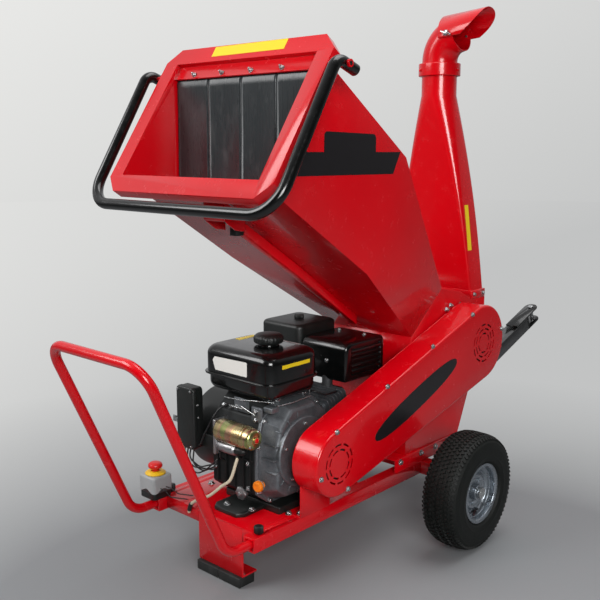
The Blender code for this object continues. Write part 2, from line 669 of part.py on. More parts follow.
def chamfered(half_x, low, high, chamfer):
    return [(-half_x + chamfer, low), (half_x - chamfer, low), (half_x, low + chamfer),
            (half_x, high - chamfer), (half_x - chamfer, high), (-half_x + chamfer, high),
            (-half_x, high - chamfer), (-half_x, low + chamfer)]


def build_hopper():
    half = MOUTH_WIDTH / 2
    sheet = HOPPER_SHEET
    hopper = hopper_solid("hopper", 0.0, -sheet / 2, 0.0, RED)
    border = chamfered(half + RIM_BORDER, -RIM_BORDER, MOUTH_HEIGHT + RIM_BORDER, RIM_CHAMFER)
    under = chamfered(half + RIM_BORDER - sheet, -RIM_BORDER + sheet,
                      MOUTH_HEIGHT + RIM_BORDER - sheet, RIM_CHAMFER - sheet * 0.6)
    rim = prism("hopper_rim", border, (-RIM_RETURN, 0), plane="XY", frame=MOUTH)
    cut(rim, prism("rim_pocket", under, (-RIM_RETURN - 0.01, -sheet), plane="XY", frame=MOUTH))
    join(hopper, rim)
    cut(hopper, hopper_solid("hopper_hollow", sheet, 0.02, 0.02))
    # the lip that the curtain hangs behind, under the top panel
    lip = box("curtain_lip", (-half + 0.001, half - 0.001),
              (MOUTH_HEIGHT - CURTAIN_LIP, MOUTH_HEIGHT + sheet - 0.0002),
              (-0.017, -0.013), frame=MOUTH)
    join(hopper, lip)
    pivot_v, pivot_w = BAR_PIVOT
    for side in (-1, 1):
        at = MOUTH @ Vector((side * (half + RIM_BORDER - 0.002), pivot_v, pivot_w))
        stud = BAR_HALF + BAR_D / 2 - half - RIM_BORDER + 0.002 + GAP
        profile = [(0, 0), (0.011, 0), (0.011, 0.006), (BAR_STUD_D / 2, 0.006), (BAR_STUD_D / 2, stud),
                   (0.009, stud), (0.009, stud + 0.006), (0, stud + 0.006)]
        join(hopper, turned(f"pivot_stud_{side}", profile, at, (side, 0, 0), None, 16))
    return hopper


def build_curtain():
    """Rubber strips that hang straight down behind the lip, joined by one band at the top."""
    half = MOUTH_WIDTH / 2
    lip_back = MOUTH @ Vector((0, MOUTH_HEIGHT - 0.040, -0.017 - GAP))
    top = MOUTH @ Vector((0, MOUTH_HEIGHT - 0.010, -0.017 - GAP))
    floor_slope = (FOLD_LOW[1] - MOUTH_AT[1]) / (FOLD_LOW[0] - MOUTH_AT[0])
    y = lip_back.y
    low = MOUTH_AT[1] + (y - MOUTH_AT[0]) * floor_slope + 0.020
    wide = half - HOPPER_SHEET - 0.004
    drop = 0.004 * math.tan(MOUTH_TILT)
    curtain = prism("hopper_curtain", [(y, low), (y + CURTAIN_SHEET, low),
                                       (y + CURTAIN_SHEET, lip_back.z - drop),
                                       (top.y + CURTAIN_SHEET / math.cos(MOUTH_TILT), top.z),
                                       (top.y, top.z), (y, lip_back.z)],
                    (-wide, wide), RUBBER)
    pitch = 2 * wide / CURTAIN_STRIPS
    for k in range(1, CURTAIN_STRIPS):
        x = -wide + k * pitch
        cut(curtain, box(f"slit_{k}", (x - 0.001, x + 0.001), (y - 0.01, y + 0.02),
                         (low - 0.01, lip_back.z - 0.020)))


def build_safety_bar():
    v, w = BAR_PIVOT
    low_w = -0.004
    top_w = 0.014
    side = BAR_HALF
    right = [(side, v + 0.012, w - 0.040), (side, v - 0.004, top_w), (side, -BAR_DROP, low_w)]
    left = [(-x, b, c) for x, b, c in reversed(right)]
    points = [MOUTH @ Vector(p) for p in right + left]
    bar = sweep("safety_bar", rounded_path(points, (0.030, 0.075, 0.075, 0.030)), BAR_D / 2, BLACK_GLOSS)
    at = MOUTH @ Vector((0, v, w))
    hinge_at(bar, at)
    cut(bar, disc("bar_bore", BAR_STUD_D / 2 + GAP, (-1, 1), at, (1, 0, 0), sides=16))


def build_bar_linkage():
    """The duct under the hopper, the trip switch at its end and the bracket that carries both."""
    def under(y):
        if y < FOLD_LOW[0]:
            t = (y - MOUTH_AT[0]) / (FOLD_LOW[0] - MOUTH_AT[0])
            return MOUTH_AT[1] + t * (FOLD_LOW[1] - MOUTH_AT[1]) - GAP * 1.4
        t = (y - FOLD_LOW[0]) / (THROAT_LOW[0] - FOLD_LOW[0])
        return FOLD_LOW[1] + t * (THROAT_LOW[1] - FOLD_LOW[1]) - GAP * 1.4

    start, end = -0.515, -0.060
    deep = 0.028
    line = (start, FOLD_LOW[0], end)
    duct = [(y, under(y)) for y in line] + [(y, under(y) - deep) for y in reversed(line)]
    prism("cable_duct", duct, (-0.016, 0.016), RED)
    box("trip_switch", (-0.012, 0.012), (start - GAP - 0.026, start - GAP),
        (under(start) - deep - 0.004, under(start) - 0.004), BLACK_MATT)
    switch_front = start - 0.026 - 2 * GAP
    plate = [(switch_front, under(switch_front)), (switch_front, under(switch_front) - 0.036),
             (-0.575, under(-0.575) - 0.052), (-0.612, under(-0.612) - 0.050),
             (-0.612, under(-0.612))]
    bracket = prism("trip_bracket", plate, (-0.030, 0.045), RED)
    cut(bracket, box("bracket_hollow", (-0.026, 0.041), (-0.608, switch_front + 0.01), (0.85, 0.990)))


# ---------------------------------------------------------------- discharge
def chute_loop(t, inset, z):
    """The chute's outline a share t of the way from its flat base to its round top."""
    y_mid = sum(CHUTE_BASE_Y) / 2 + t * (CHUTE_TOP_Y - sum(CHUTE_BASE_Y) / 2)
    half_x = HOUSING_HALF - 0.005 + t * (CHUTE_R - HOUSING_HALF + 0.005) - inset
    half_y = (CHUTE_BASE_Y[1] - CHUTE_BASE_Y[0]) / 2
    half_y = half_y + t * (CHUTE_R - half_y) - inset
    radius = max(0.006 + t ** 2.2 * (CHUTE_R - 0.006) - inset, 0.003)
    outline = rounded_rectangle(half_x, half_y, min(radius, half_x - 1e-5, half_y - 1e-5), 5)
    return [(x, y_mid + y, z) for x, y in outline]


def build_chute():
    base = CHUTE_BASE_Z
    taper_end = COLLAR_Z[0] - 0.060
    shares = [k / 6 for k in range(7)]
    levels = [base + CHUTE_SKIRT / 2 + t * (taper_end - base - CHUTE_SKIRT / 2) for t in shares]
    outer = [chute_loop(t, 0, z) for t, z in zip(shares, levels)] + [chute_loop(1, 0, CHUTE_TOP_Z)]
    inner = [chute_loop(0, CHUTE_SHEET, base - 0.01)]
    inner += [chute_loop(t, CHUTE_SHEET, z) for t, z in zip(shares, levels)]
    inner += [chute_loop(1, CHUTE_SHEET, CHUTE_TOP_Z + 0.01)]
    chute = loft("discharge_chute", outer, RED, smooth=True)
    skirt = box("chute_skirt", (-HOUSING_HALF, HOUSING_HALF), (CHUTE_BASE_Y[0] - 0.003, CHUTE_BASE_Y[1] + 0.003),
                (base, base + CHUTE_SKIRT))
    join(chute, skirt)
    cut(chute, loft("chute_bore", inner, None))


def elbow_frame(angle):
    """The place and turn of the elbow's section after bending through an angle towards +X."""
    start = Vector((0, CHUTE_TOP_Y, COLLAR_Z[1] + ELBOW_START))
    shift = Vector((ELBOW_BEND_R * (1 - math.cos(angle)), 0, ELBOW_BEND_R * math.sin(angle)))
    return Matrix.Translation(start + shift) @ Matrix.Rotation(angle, 4, "Y")


def elbow_rings(radius, steps, extra):
    loops = []
    frames = [elbow_frame(ELBOW_TURN * k / steps) for k in range(steps + 1)]
    frames.append(frames[-1] @ Matrix.Translation((0, 0, ELBOW_END + extra)))
    frames.insert(0, frames[0] @ Matrix.Translation((0, 0, -ELBOW_START - 2.5 * extra)))
    for frame in frames:
        loops.append([frame @ Vector((x, y, 0)) for x, y in arc((0, 0), radius, 0, 345, 23)])
    return loops


def build_elbow():
    pivot = (0, CHUTE_TOP_Y, COLLAR_Z[0])
    tube = loft("chute_elbow", elbow_rings(CHUTE_R, 6, 0.0), RED, smooth=True)
    low = COLLAR_Z[0] - COLLAR_Z[0]
    high = COLLAR_Z[1] - COLLAR_Z[0]
    collar = disc("elbow_collar", COLLAR_R, (low, high + 0.004), pivot, (0, 0, 1), sides=24)
    join(tube, collar)
    hinge = hinge_point()
    for side in (-1, 1):
        join(tube, disc(f"hinge_stud_{side}", 0.004, (CHUTE_R - 0.010, CHUTE_R + 0.010), hinge, (0, side, 0),
                        sides=12))
    cut(tube, loft("elbow_bore", elbow_rings(CHUTE_R - CHUTE_SHEET, 6, 0.02), None))
    cut(tube, disc("collar_bore", CHUTE_R + SWIVEL_CLEAR, (-0.01, CHUTE_TOP_Z - COLLAR_Z[0] + GAP), pivot, (0, 0, 1),
                   sides=24))
    hinge_at(tube, pivot)


def hinge_point():
    return elbow_frame(ELBOW_TURN) @ Vector((0, 0, ELBOW_END - 0.012))


def build_deflector():
    """A half-round shield over the elbow's mouth, on two side studs."""
    hinge = hinge_point()
    mouth = elbow_frame(ELBOW_TURN) @ Vector((0, 0, ELBOW_END))
    frame = Matrix.Translation(mouth) @ Matrix.Rotation(DEFLECTOR_PITCH, 4, "Y")
    outside = DEFLECTOR_R + CHUTE_SHEET
    spread = math.degrees(DEFLECTOR_ARC) / 2
    ring = arc((0, 0), outside, 180 - spread, 180 + spread, 18)
    ring += arc((0, 0), DEFLECTOR_R, 180 + spread, 180 - spread, 18)
    shield = prism("deflector", ring, (-DEFLECTOR_BACK, DEFLECTOR_FRONT), RED, plane="XY", frame=frame,
                   smooth=True)
    end = frame @ Matrix.Translation((-outside, 0, DEFLECTOR_FRONT)) @ Matrix.Rotation(math.pi / 4, 4, "Y")
    cut(shield, disc("deflector_stud_bore", 0.004 + GAP, (-0.2, 0.2), hinge, (0, 1, 0), sides=12),
        box("deflector_end_trim", (-0.05, 0.30), (-0.2, 0.2), (0, 0.2), frame=end))
    hinge_at(shield, hinge)
    outer = outside + GAP
    nut = disc("wing_nut", 0.009, (outer, outer + 0.008), hinge, (0, -1, 0), ZINC, sides=16)
    wing = box("wing_nut_wings", (-0.018, 0.018), (-outer - 0.010, -outer - 0.004), (-0.0025, 0.0025),
               frame=Matrix.Translation(hinge) @ Matrix.Rotation(math.radians(20), 4, "Y"))
    join(nut, wing)
    cut(nut, disc("wing_nut_bore", 0.004 + GAP, (0, outer + 0.0055), hinge, (0, -1, 0), sides=12))
    hinge_at(nut, hinge)


# ---------------------------------------------------------------- handle and stop button
def build_handle():
    y_top, z_top = HANDLE_TOP
    insert = RAIL_FRONT + HANDLE_INSERT
    right, left = RAIL_RIGHT_X, RAIL_LEFT_X
    points = [(right, insert, RAIL_MID_Z), (right, HANDLE_BEND_Y, RAIL_MID_Z), (right, y_top, z_top),
              (left, y_top, z_top), (left, HANDLE_BEND_Y, RAIL_MID_Z), (left, insert, RAIL_MID_Z)]
    path = rounded_path(points, (0.060, 0.065, 0.065, 0.060))
    sweep("handle", path, HANDLE_D / 2, RED, 16)
    for name, x, y in (("handle_knob_right", right, KNOB_RIGHT_Y), ("handle_knob_left", left, KNOB_LEFT_Y)):
        touch = RAIL_MID_Z + HANDLE_D / 2 + GAP
        cap = RAIL_TOP + GAP
        top = cap + 0.020
        profile = [(0, touch), (KNOB_STEM_R, touch), (KNOB_STEM_R, cap), (0.012, cap), (0.0125, cap + 0.003),
                   (0.0125, top - 0.002), (0.011, top), (0, top)]
        knob = turned(name, profile, (x, y, 0), (0, 0, 1), BLACK_MATT, 18)
        hinge_at(knob, (x, y, cap))


def build_stop_button():
    x, y = ESTOP_AT
    half = ESTOP_SIZE / 2
    seat = RAIL_TOP + GAP
    box("estop_base", (x - half, x + half), (y - half, y + half), (seat, seat + 0.018), BLACK_MATT,
        bevel=0.003)
    cover_low = seat + 0.018 + GAP
    cover_top = cover_low + 0.046
    box("estop_cover", (x - half, x + half), (y - half, y + half), (cover_low, cover_top), GREY_PLASTIC,
        bevel=0.005)
    bore = 0.0105
    profile = [(bore + GAP, cover_top + GAP), (0.029, cover_top + GAP), (0.029, cover_top + 0.004),
               (0.020, cover_top + 0.009), (bore + GAP, cover_top + 0.009)]
    turned("estop_collar", profile, (x, y, 0), (0, 0, 1), YELLOW, 28, ring=True)
    stem = cover_top + GAP * 2
    head = cover_top + 0.009 + 0.006
    profile = [(0, stem + 0.005), (bore, stem + 0.005), (bore, head), (0.018, head), (0.020, head + 0.004),
               (0.020, head + 0.010), (0.014, head + 0.016), (0, head + 0.018)]
    turned("estop_button", profile, (x, y, 0), (0, 0, 1), SIGNAL_RED, 28)


# ---------------------------------------------------------------- engine
CASE_X = (-0.110, 0.112)
CASE_Y = (-0.525, -0.290)
ENGINE_FOOT = RAIL_TOP + GAP
CYLINDER_TILT = math.radians(14)
MOUNT_TOP = ENGINE_FOOT + 0.020


def build_engine_block():
    mount = box("engine_mount", (CASE_X[0] + 0.005, CASE_X[1] - 0.010), (CASE_Y[0] + 0.040, CASE_Y[1] + 0.015),
                (ENGINE_FOOT, MOUNT_TOP), BLACK_MATT, bevel=0.003)
    join(mount, prism("mount_ears", [(x, y) for x, y in ((-0.050, -0.575), (0.030, -0.575), (0.045, -0.555),
                                                          (0.045, -0.470), (-0.065, -0.470), (-0.065, -0.555))],
                      (ENGINE_FOOT, ENGINE_FOOT + 0.012), plane="XY"))
    y, z = CRANK_AT
    low = MOUNT_TOP + GAP
    frame = Matrix.Translation((0, CASE_Y[1] + 0.015, z + 0.052)) @ Matrix.Rotation(CYLINDER_TILT, 4, "X")
    deck = [(frame @ Vector((0, 0, v))).yz for v in (-0.068, 0.062)]
    side = [(CASE_Y[0] + 0.045, low), (CASE_Y[1] - 0.010, low), (CASE_Y[1], z - 0.03), *deck,
            (y + 0.060, z + 0.150), (y - 0.050, z + 0.150), (CASE_Y[0] + 0.020, z + 0.100),
            (CASE_Y[0], z + 0.030), (CASE_Y[0], low + 0.034)]
    case = prism("crankcase", side, CASE_X, CAST)
    round_edges(case, 0.008, 2)
    seal = disc("crank_seal", 0.030, (CASE_X[1] - 0.01, CASE_X[1] + 0.028), (0, y, z), (1, 0, 0), sides=28)
    shaft = disc("crank_bore", CRANK_R + GAP, (CASE_X[1] - 0.06, CASE_X[1] + 0.05), (0, y, z), (1, 0, 0), sides=24)
    ring = disc("side_cover", 0.098, (CASE_X[1] - 0.01, CASE_X[1] + 0.010), (0, y, z + 0.012), (1, 0, 0), sides=32)
    join(case, ring, seal)
    cut(case, shaft, disc("oil_neck_bore", 0.0095, (-0.02, 0.02), (0.070, CASE_Y[0] + 0.004, 0.250), (0, -1, 0),
                          sides=16))
    crank = disc("crankshaft", CRANK_R, (CASE_X[1] - 0.058, BELT_X + BELT_WIDTH / 2 + 0.004), (0, y, z), (1, 0, 0),
                 STEEL, 24)
    hinge_at(crank, (0, y, z))

    # barrel, five fins, head and rocker cover as one stepped stack of rectangles
    barrel = (-0.070, 0.080, -0.054, 0.046)
    fin = (-0.082, 0.092, -0.064, 0.054)
    rocker = (-0.050, 0.060, -0.050, 0.040)
    steps = [(GAP, barrel)]
    for k in range(5):
        low = 0.012 + k * 0.015
        steps += [(low, barrel), (low, fin), (low + 0.005, fin), (low + 0.005, barrel)]
    steps += [(0.102, barrel), (0.102, rocker), (0.132, rocker)]
    loops = [[frame @ Vector((x, s, v)) for x, v in ((a, c), (b, c), (b, d), (a, d))] for s, (a, b, c, d) in steps]
    loft("cylinder", loops, CAST)
    return frame


def rounded_block(name, xs, ys, zs, radius, finish, top=0.0, steps=3):
    """A box with rounded upright corners whose top edge is drawn in by top."""
    mid = ((xs[0] + xs[1]) / 2, (ys[0] + ys[1]) / 2)
    half = ((xs[1] - xs[0]) / 2, (ys[1] - ys[0]) / 2)
    loops = []
    levels = [(zs[0], 0.0), (zs[1] - top, 0.0)]
    if top:
        levels += [(zs[1] - top * 0.35, top * 0.25), (zs[1], top * 0.9)]
    else:
        levels[1] = (zs[1], 0.0)
    for z, inset in levels:
        outline = rounded_rectangle(half[0] - inset, half[1] - inset, max(radius - inset * 0.5, 0.002), steps)
        loops.append([(mid[0] + x, mid[1] + y, z) for x, y in outline])
    return loft(name, loops, finish, smooth=True)


TANK_X = (-0.155, 0.102)
TANK_Y = (-0.517, -0.322)
TANK_SEAM = 0.518
TANK_TOP = 0.594
CAP_AT = (-0.012, -0.405)


def build_engine_top():
    y, z = CRANK_AT
    tank = rounded_block("fuel_tank", TANK_X, TANK_Y, (TANK_SEAM, TANK_TOP), 0.034, BLACK_GLOSS, top=0.024)
    seam = rounded_block("tank_seam", (TANK_X[0] - 0.007, TANK_X[1] + 0.007), (TANK_Y[0] - 0.007, TANK_Y[1] + 0.007),
                         (TANK_SEAM - 0.003, TANK_SEAM + 0.003), 0.038, None)
    case_top = z + 0.150 + GAP
    belly = rounded_block("tank_belly", (TANK_X[0] + 0.006, TANK_X[1] - 0.006), (TANK_Y[0] + 0.012, TANK_Y[1] - 0.008),
                          (case_top, TANK_SEAM + 0.010), 0.028, None)
    neck = disc("tank_neck", 0.028, (TANK_TOP - 0.02, TANK_TOP + 0.006), (*CAP_AT, 0), (0, 0, 1), sides=24)
    join(tank, seam, belly, neck)
    cap_low = TANK_TOP + 0.006 + GAP
    profile = [(0, cap_low), (0.038, cap_low), (0.041, cap_low + 0.006), (0.041, cap_low + 0.016),
               (0.030, cap_low + 0.024), (0, cap_low + 0.026)]
    cap = turned("fuel_cap", profile, (*CAP_AT, 0), (0, 0, 1), BLACK_MATT, 24)
    hinge_at(cap, (*CAP_AT, cap_low))


MUFFLER_X = (-0.070, 0.100)
MUFFLER_Y = (-0.212, -0.034)
MUFFLER_Z = (0.464, 0.578)


def build_engine_rear(cylinder_frame):
    guard = box("muffler_guard", MUFFLER_X, MUFFLER_Y, MUFFLER_Z, BLACK_GLOSS)
    round_edges(guard, 0.012, 3)
    louvres = []
    low, high = MUFFLER_Y[0] + 0.020, MUFFLER_Y[1] - 0.020
    for k in range(6):
        level = MUFFLER_Z[0] + 0.018 + k * 0.014
        louvres.append([(low, level), (high, level), (high, level + 0.005), (low, level + 0.005)])
    cut(guard, slots("louvres", louvres, (MUFFLER_X[1] - 0.004, MUFFLER_X[1] + 0.01)))
    # exhaust stub from the head up into the guard
    port = cylinder_frame @ Vector((0, 0.100, 0.046 + GAP))
    join(guard, box("exhaust_stub", (-0.010, 0.050), (port.y - 0.018, port.y),
                    (port.z, MUFFLER_Z[0] + 0.01)))
    air_x = (-0.236, MUFFLER_X[0] - 0.006)
    air = rounded_block("air_cleaner", air_x, (-0.212, -0.040), (0.500, 0.604), 0.020, BLACK_MATT, top=0.014)
    join(air, box("intake_arm", (air_x[1] - 0.02, MUFFLER_X[0] - GAP), (-0.150, -0.100), (0.515, 0.560)))
    fan_x = (-0.215, CASE_X[0] - GAP)
    y, z = CRANK_AT
    outline = arc((y, z + 0.010), 0.118, 215, 500, 20)
    fan = prism("fan_cover", outline, fan_x, BLACK_MATT, smooth=True)
    round_edges(fan, 0.010, 2)
    openings = []
    for radius in (0.036, 0.056, 0.076):
        openings += slot_ring((y, z + 0.010), radius, 6, 20, 0.006)
    cut(fan, slots("fan_slots", openings, (fan_x[0] - 0.01, fan_x[0] + 0.006)))


CONTROL_X = (-0.212, -0.140)
CONTROL_Y = (-0.566, -0.530)
CONTROL_Z = (0.303, 0.478)


def build_engine_controls():
    panel = box("control_box", CONTROL_X, CONTROL_Y, CONTROL_Z, BLACK_MATT, bevel=0.006)
    join(panel, box("control_bracket", (CONTROL_X[0] + 0.02, -0.068), (CONTROL_Y[1] - 0.004, CASE_Y[0] - GAP),
                    (0.310, 0.346)))
    key_at = (CONTROL_X[0] - GAP, -0.548, 0.372)
    profile = [(0, 0), (0.010, 0), (0.010, 0.008), (0.006, 0.010), (0.006, 0.014), (0, 0.014)]
    key = turned("key_switch", profile, key_at, (-1, 0, 0), ZINC, 20)
    join(key, box("key_bow", (key_at[0] - 0.034, key_at[0] - 0.0115), (key_at[1] - 0.0015, key_at[1] + 0.0015),
                  (key_at[2] - 0.009, key_at[2] + 0.009)))
    hinge_at(key, key_at)
    y, z = STARTER_AT
    profile = [(0, -0.052), (0.020, -0.052), (0.024, -0.046), (0.030, -0.040), (0.030, 0.060), (0.028, 0.064),
               (0.028, 0.082), (0.024, 0.088), (0.008, 0.089), (0.008, 0.093), (0, 0.093)]
    starter = turned("starter_motor", profile, (0, y, z), (1, 0, 0), PASSIVATED, 28)
    solenoid = turned("solenoid", [(0, -0.046), (0.017, -0.046), (0.017, 0.012), (0.010, 0.018), (0.010, 0.034),
                                   (0, 0.036)], (0, y + 0.004, z - 0.044), (1, 0, 0), None, 20)
    flange = box("starter_flange", (-0.052, -0.044), (y - 0.020, y + 0.030), (z - 0.066, z + 0.030))
    join(starter, solenoid, flange)
    cap_at = (0.070, CASE_Y[0] - GAP, 0.250)
    profile = [(0, -0.012), (0.009, -0.012), (0.009, 0), (0.015, 0), (0.015, 0.010), (0.013, 0.013), (0, 0.013)]
    cap = turned("oil_cap", profile, cap_at, (0, -1, 0), ORANGE, 16)
    hinge_at(cap, cap_at)


STARTER_AT = (CASE_Y[0] - 0.0306, 0.386)


def build_cable():
    """The battery lead from the starter down to its clip on the front cross tube."""
    knots = [Vector(p) for p in ((0.030, -0.5639, 0.3297), (0.036, -0.576, 0.3176), (0.030, -0.591, 0.276),
                                 (0.003, -0.599, 0.252), (-0.035, -0.604, 0.219), (-0.070, -0.6070, 0.200),
                                 (-0.106, -0.6076, 0.176), (-0.118, -0.6076, 0.148))]
    points = []
    padded = [knots[0] * 2 - knots[1], *knots, knots[-1] * 2 - knots[-2]]
    for a, b, c, d in zip(padded, padded[1:], padded[2:], padded[3:]):
        steps = max(2, round((c - b).length / 0.018))
        for k in range(steps):
            t = k / steps
            points.append(0.5 * (2 * b + (c - a) * t + (2 * a - 5 * b + 4 * c - d) * t * t
                                 + (3 * b - a - 3 * c + d) * t ** 3))
    points.append(knots[-1])
    curve = bpy.data.curves.new("battery_lead", "CURVE")
    curve.dimensions = "3D"
    curve.bevel_depth = 0.004
    curve.bevel_resolution = 2
    curve.use_fill_caps = True
    spline = curve.splines.new("POLY")
    spline.points.add(len(points) - 1)
    for slot, point in zip(spline.points, points):
        slot.co = (*point, 1)
    obj = bpy.data.objects.new("battery_lead", curve)
    bpy.context.scene.collection.objects.link(obj)
    obj.parent = root
    paint(obj, CREAM)


# ---------------------------------------------------------------- assembly
build_frame()
build_axle()
build_wheel("right", 1)
build_wheel("left", -1)
build_stand_and_tow_bar()
build_housing()
build_drive()
build_hopper()
build_curtain()
build_safety_bar()
build_bar_linkage()
build_chute()
build_elbow()
build_deflector()
build_handle()
build_stop_button()
head_frame = build_engine_block()
build_engine_top()
build_engine_rear(head_frame)
build_engine_controls()
build_cable()

HITCH_TIP_Y = (TOW_START[0] + (TOW_LENGTH + 0.075 + TOW_TUBE / 2) * math.cos(TOW_ANGLE)
               + TOW_TUBE / 2 * math.sin(TOW_ANGLE))
FRONT_Y = HANDLE_TOP[0] - HANDLE_D / 2
root.location.y = -(HITCH_TIP_Y + FRONT_Y) / 2
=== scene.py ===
import json
import math

import bmesh
import bpy
from mathutils import Matrix, Vector

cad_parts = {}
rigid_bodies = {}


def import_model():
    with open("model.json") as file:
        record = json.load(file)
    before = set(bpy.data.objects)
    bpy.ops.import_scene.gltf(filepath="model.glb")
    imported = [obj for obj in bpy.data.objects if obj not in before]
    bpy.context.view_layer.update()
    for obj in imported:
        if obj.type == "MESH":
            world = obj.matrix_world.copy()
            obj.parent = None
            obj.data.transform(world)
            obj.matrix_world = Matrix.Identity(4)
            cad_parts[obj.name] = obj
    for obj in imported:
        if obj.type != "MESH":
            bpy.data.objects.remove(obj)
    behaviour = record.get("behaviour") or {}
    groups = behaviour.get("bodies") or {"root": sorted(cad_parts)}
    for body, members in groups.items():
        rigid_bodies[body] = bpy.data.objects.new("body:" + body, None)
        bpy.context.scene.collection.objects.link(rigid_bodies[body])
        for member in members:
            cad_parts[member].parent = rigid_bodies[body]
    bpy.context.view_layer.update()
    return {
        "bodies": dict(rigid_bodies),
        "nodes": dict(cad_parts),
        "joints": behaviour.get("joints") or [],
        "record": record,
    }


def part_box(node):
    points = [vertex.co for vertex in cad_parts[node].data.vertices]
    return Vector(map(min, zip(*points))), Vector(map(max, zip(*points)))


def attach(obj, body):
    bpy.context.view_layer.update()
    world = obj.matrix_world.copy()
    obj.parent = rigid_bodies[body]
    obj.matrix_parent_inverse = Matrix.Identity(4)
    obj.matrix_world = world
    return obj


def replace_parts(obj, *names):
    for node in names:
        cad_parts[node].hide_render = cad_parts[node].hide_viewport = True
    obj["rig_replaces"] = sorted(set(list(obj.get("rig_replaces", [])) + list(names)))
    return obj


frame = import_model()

cadNodes = frame["nodes"]
bodyOf = {node: body for body, members in frame["record"]["behaviour"]["bodies"].items() for node in members}
slotOf = {part["node"]: part["material_slot"] for part in frame["record"]["subparts"]}
scene = bpy.context.scene

# lengths along the machine are counted from the axle, and pieces are moved into the frame when they are finished
axleY = sum(corner.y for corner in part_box("rim_right")) / 2


fromAxle = Vector((0, axleY, 0))


def nodeBox(name):
    low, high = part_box(name)
    return low - fromAxle, high - fromAxle


# sockets and node trees

class Wire:
    # one output socket, so that maths on it reads as plain sums
    def __init__(self, tree, socket):
        self.tree = tree
        self.socket = socket

    def output(self, name):
        return Wire(self.tree, pickSocket(self.socket.node.outputs, name))

    def __add__(self, other):
        return self.tree.maths("ADD", self, other)

    def __radd__(self, other):
        return self.tree.maths("ADD", other, self)

    def __sub__(self, other):
        return self.tree.maths("SUBTRACT", self, other)

    def __rsub__(self, other):
        return self.tree.maths("SUBTRACT", other, self)

    def __mul__(self, other):
        return self.tree.maths("MULTIPLY", self, other)

    def __rmul__(self, other):
        return self.tree.maths("MULTIPLY", other, self)

    def __truediv__(self, other):
        return self.tree.maths("DIVIDE", self, other)

    def __mod__(self, other):
        return self.tree.maths("MODULO", self, other)


def pickSocket(sockets, key):
    return sockets[key] if isinstance(key, int) else next(s for s in sockets if s.identifier == key)


class NodeTree:
    # a shader or geometry tree that nodes are added to
    def __init__(self, data):
        self.data = data
        self.entry = None  # the group's input node, in a geometry tree

    def feed(self, socket, value):
        if isinstance(value, Wire):
            self.data.links.new(value.socket, socket)
        else:
            socket.default_value = value

    def node(self, kind, settings=None, inputs=None):
        made = self.data.nodes.new(kind)
        for name, value in (settings or {}).items():
            if name == "stops":
                ramp = made.color_ramp
                while len(ramp.elements) < len(value):
                    ramp.elements.new(0.5)
                for element, (position, colour) in zip(ramp.elements, value):
                    element.position = position
                    element.color = colour
            else:
                setattr(made, name, value)
        for key, value in (inputs or {}).items():
            self.feed(pickSocket(made.inputs, key), value)
        return Wire(self, next(socket for socket in made.outputs if socket.enabled))

    def maths(self, operation, *numbers):
        return self.node("ShaderNodeMath", {"operation": operation}, dict(enumerate(numbers)))

    def vectors(self, operation, *vectors):
        return self.node("ShaderNodeVectorMath", {"operation": operation}, dict(enumerate(vectors)))

    def place(self, **mapping):
        here = self.node("ShaderNodeTexCoord").output("Object")
        return self.node("ShaderNodeMapping", {}, {"Vector": here, **mapping}) if mapping else here

    def noise(self, where, scale, detail=3.0, rough=0.5):
        return self.node("ShaderNodeTexNoise", {}, {"Vector": where, "Scale": scale, "Detail": detail,
                                                    "Roughness": rough})

    def mixColours(self, share, first, second):
        return self.node("ShaderNodeMix", {"data_type": "RGBA"},
                         {"Factor_Float": share, "A_Color": first, "B_Color": second}).output("Result_Color")

    def band(self, value, low, high, start=0.0, end=1.0):
        # value carried from low..high to start..end and held there
        return self.node("ShaderNodeMapRange", {"clamp": True},
                         {"Value": value, "From Min": low, "From Max": high, "To Min": start, "To Max": end})

    def bump(self, height, distance, strength):
        return self.node("ShaderNodeBump", {}, {"Height": height, "Distance": distance, "Strength": strength})

    def entries(self, *names):
        return [Wire(self, self.entry.outputs[name]) for name in names]


def shade(red, green, blue):
    # a colour written 0-255 as it looks on a screen, in the linear numbers a shader takes
    def linear(value):
        value /= 255
        return value / 12.92 if value <= 0.04045 else ((value + 0.055) / 1.055) ** 2.4
    return (linear(red), linear(green), linear(blue), 1.0)


slotFinish, slotForFinish = {}, {}  # the first finish made for a slot is the slot's own


def finishOf(name, slot, recipe, **settings):
    material = bpy.data.materials.new(name)
    slotFinish.setdefault(slot, material)
    slotForFinish[name] = slot
    material.use_nodes = True
    tree = NodeTree(material.node_tree)
    shader = material.node_tree.nodes["Principled BSDF"]
    for socket, value in recipe(tree, **settings).items():
        tree.feed(shader.inputs[socket], value)
    return material


# finishes

def powderCoat(tree, colour, deep, roughness):
    # a baked coat: slow drift in depth, fine orange peel, a little dust that dulls it
    here = tree.place()
    drift = tree.band(tree.noise(here, 2.6, 2.0), 0.35, 0.65)
    dust = tree.band(tree.noise(here, 34.0, 6.0, 0.65), 0.52, 0.78)
    specks = tree.band(tree.noise(here, 900.0, 1.0), 0.72, 0.80)
    tone = tree.mixColours(drift, deep, colour)
    tone = tree.mixColours(dust * 0.012 + specks * 0.008, tone, shade(214, 190, 186))
    peel = tree.noise(here, 260.0, 2.0, 0.4) + tree.noise(here, 900.0, 1.0) * 0.25
    return {"Base Color": tone, "Roughness": dust * 0.10 + tree.noise(here, 9.0, 4.0) * 0.06 + roughness,
            "Coat Weight": 0.40 - dust * 0.12, "Coat Roughness": 0.06, "Specular IOR Level": 0.36,
            "Normal": tree.bump(peel, 0.00012, 0.55)}


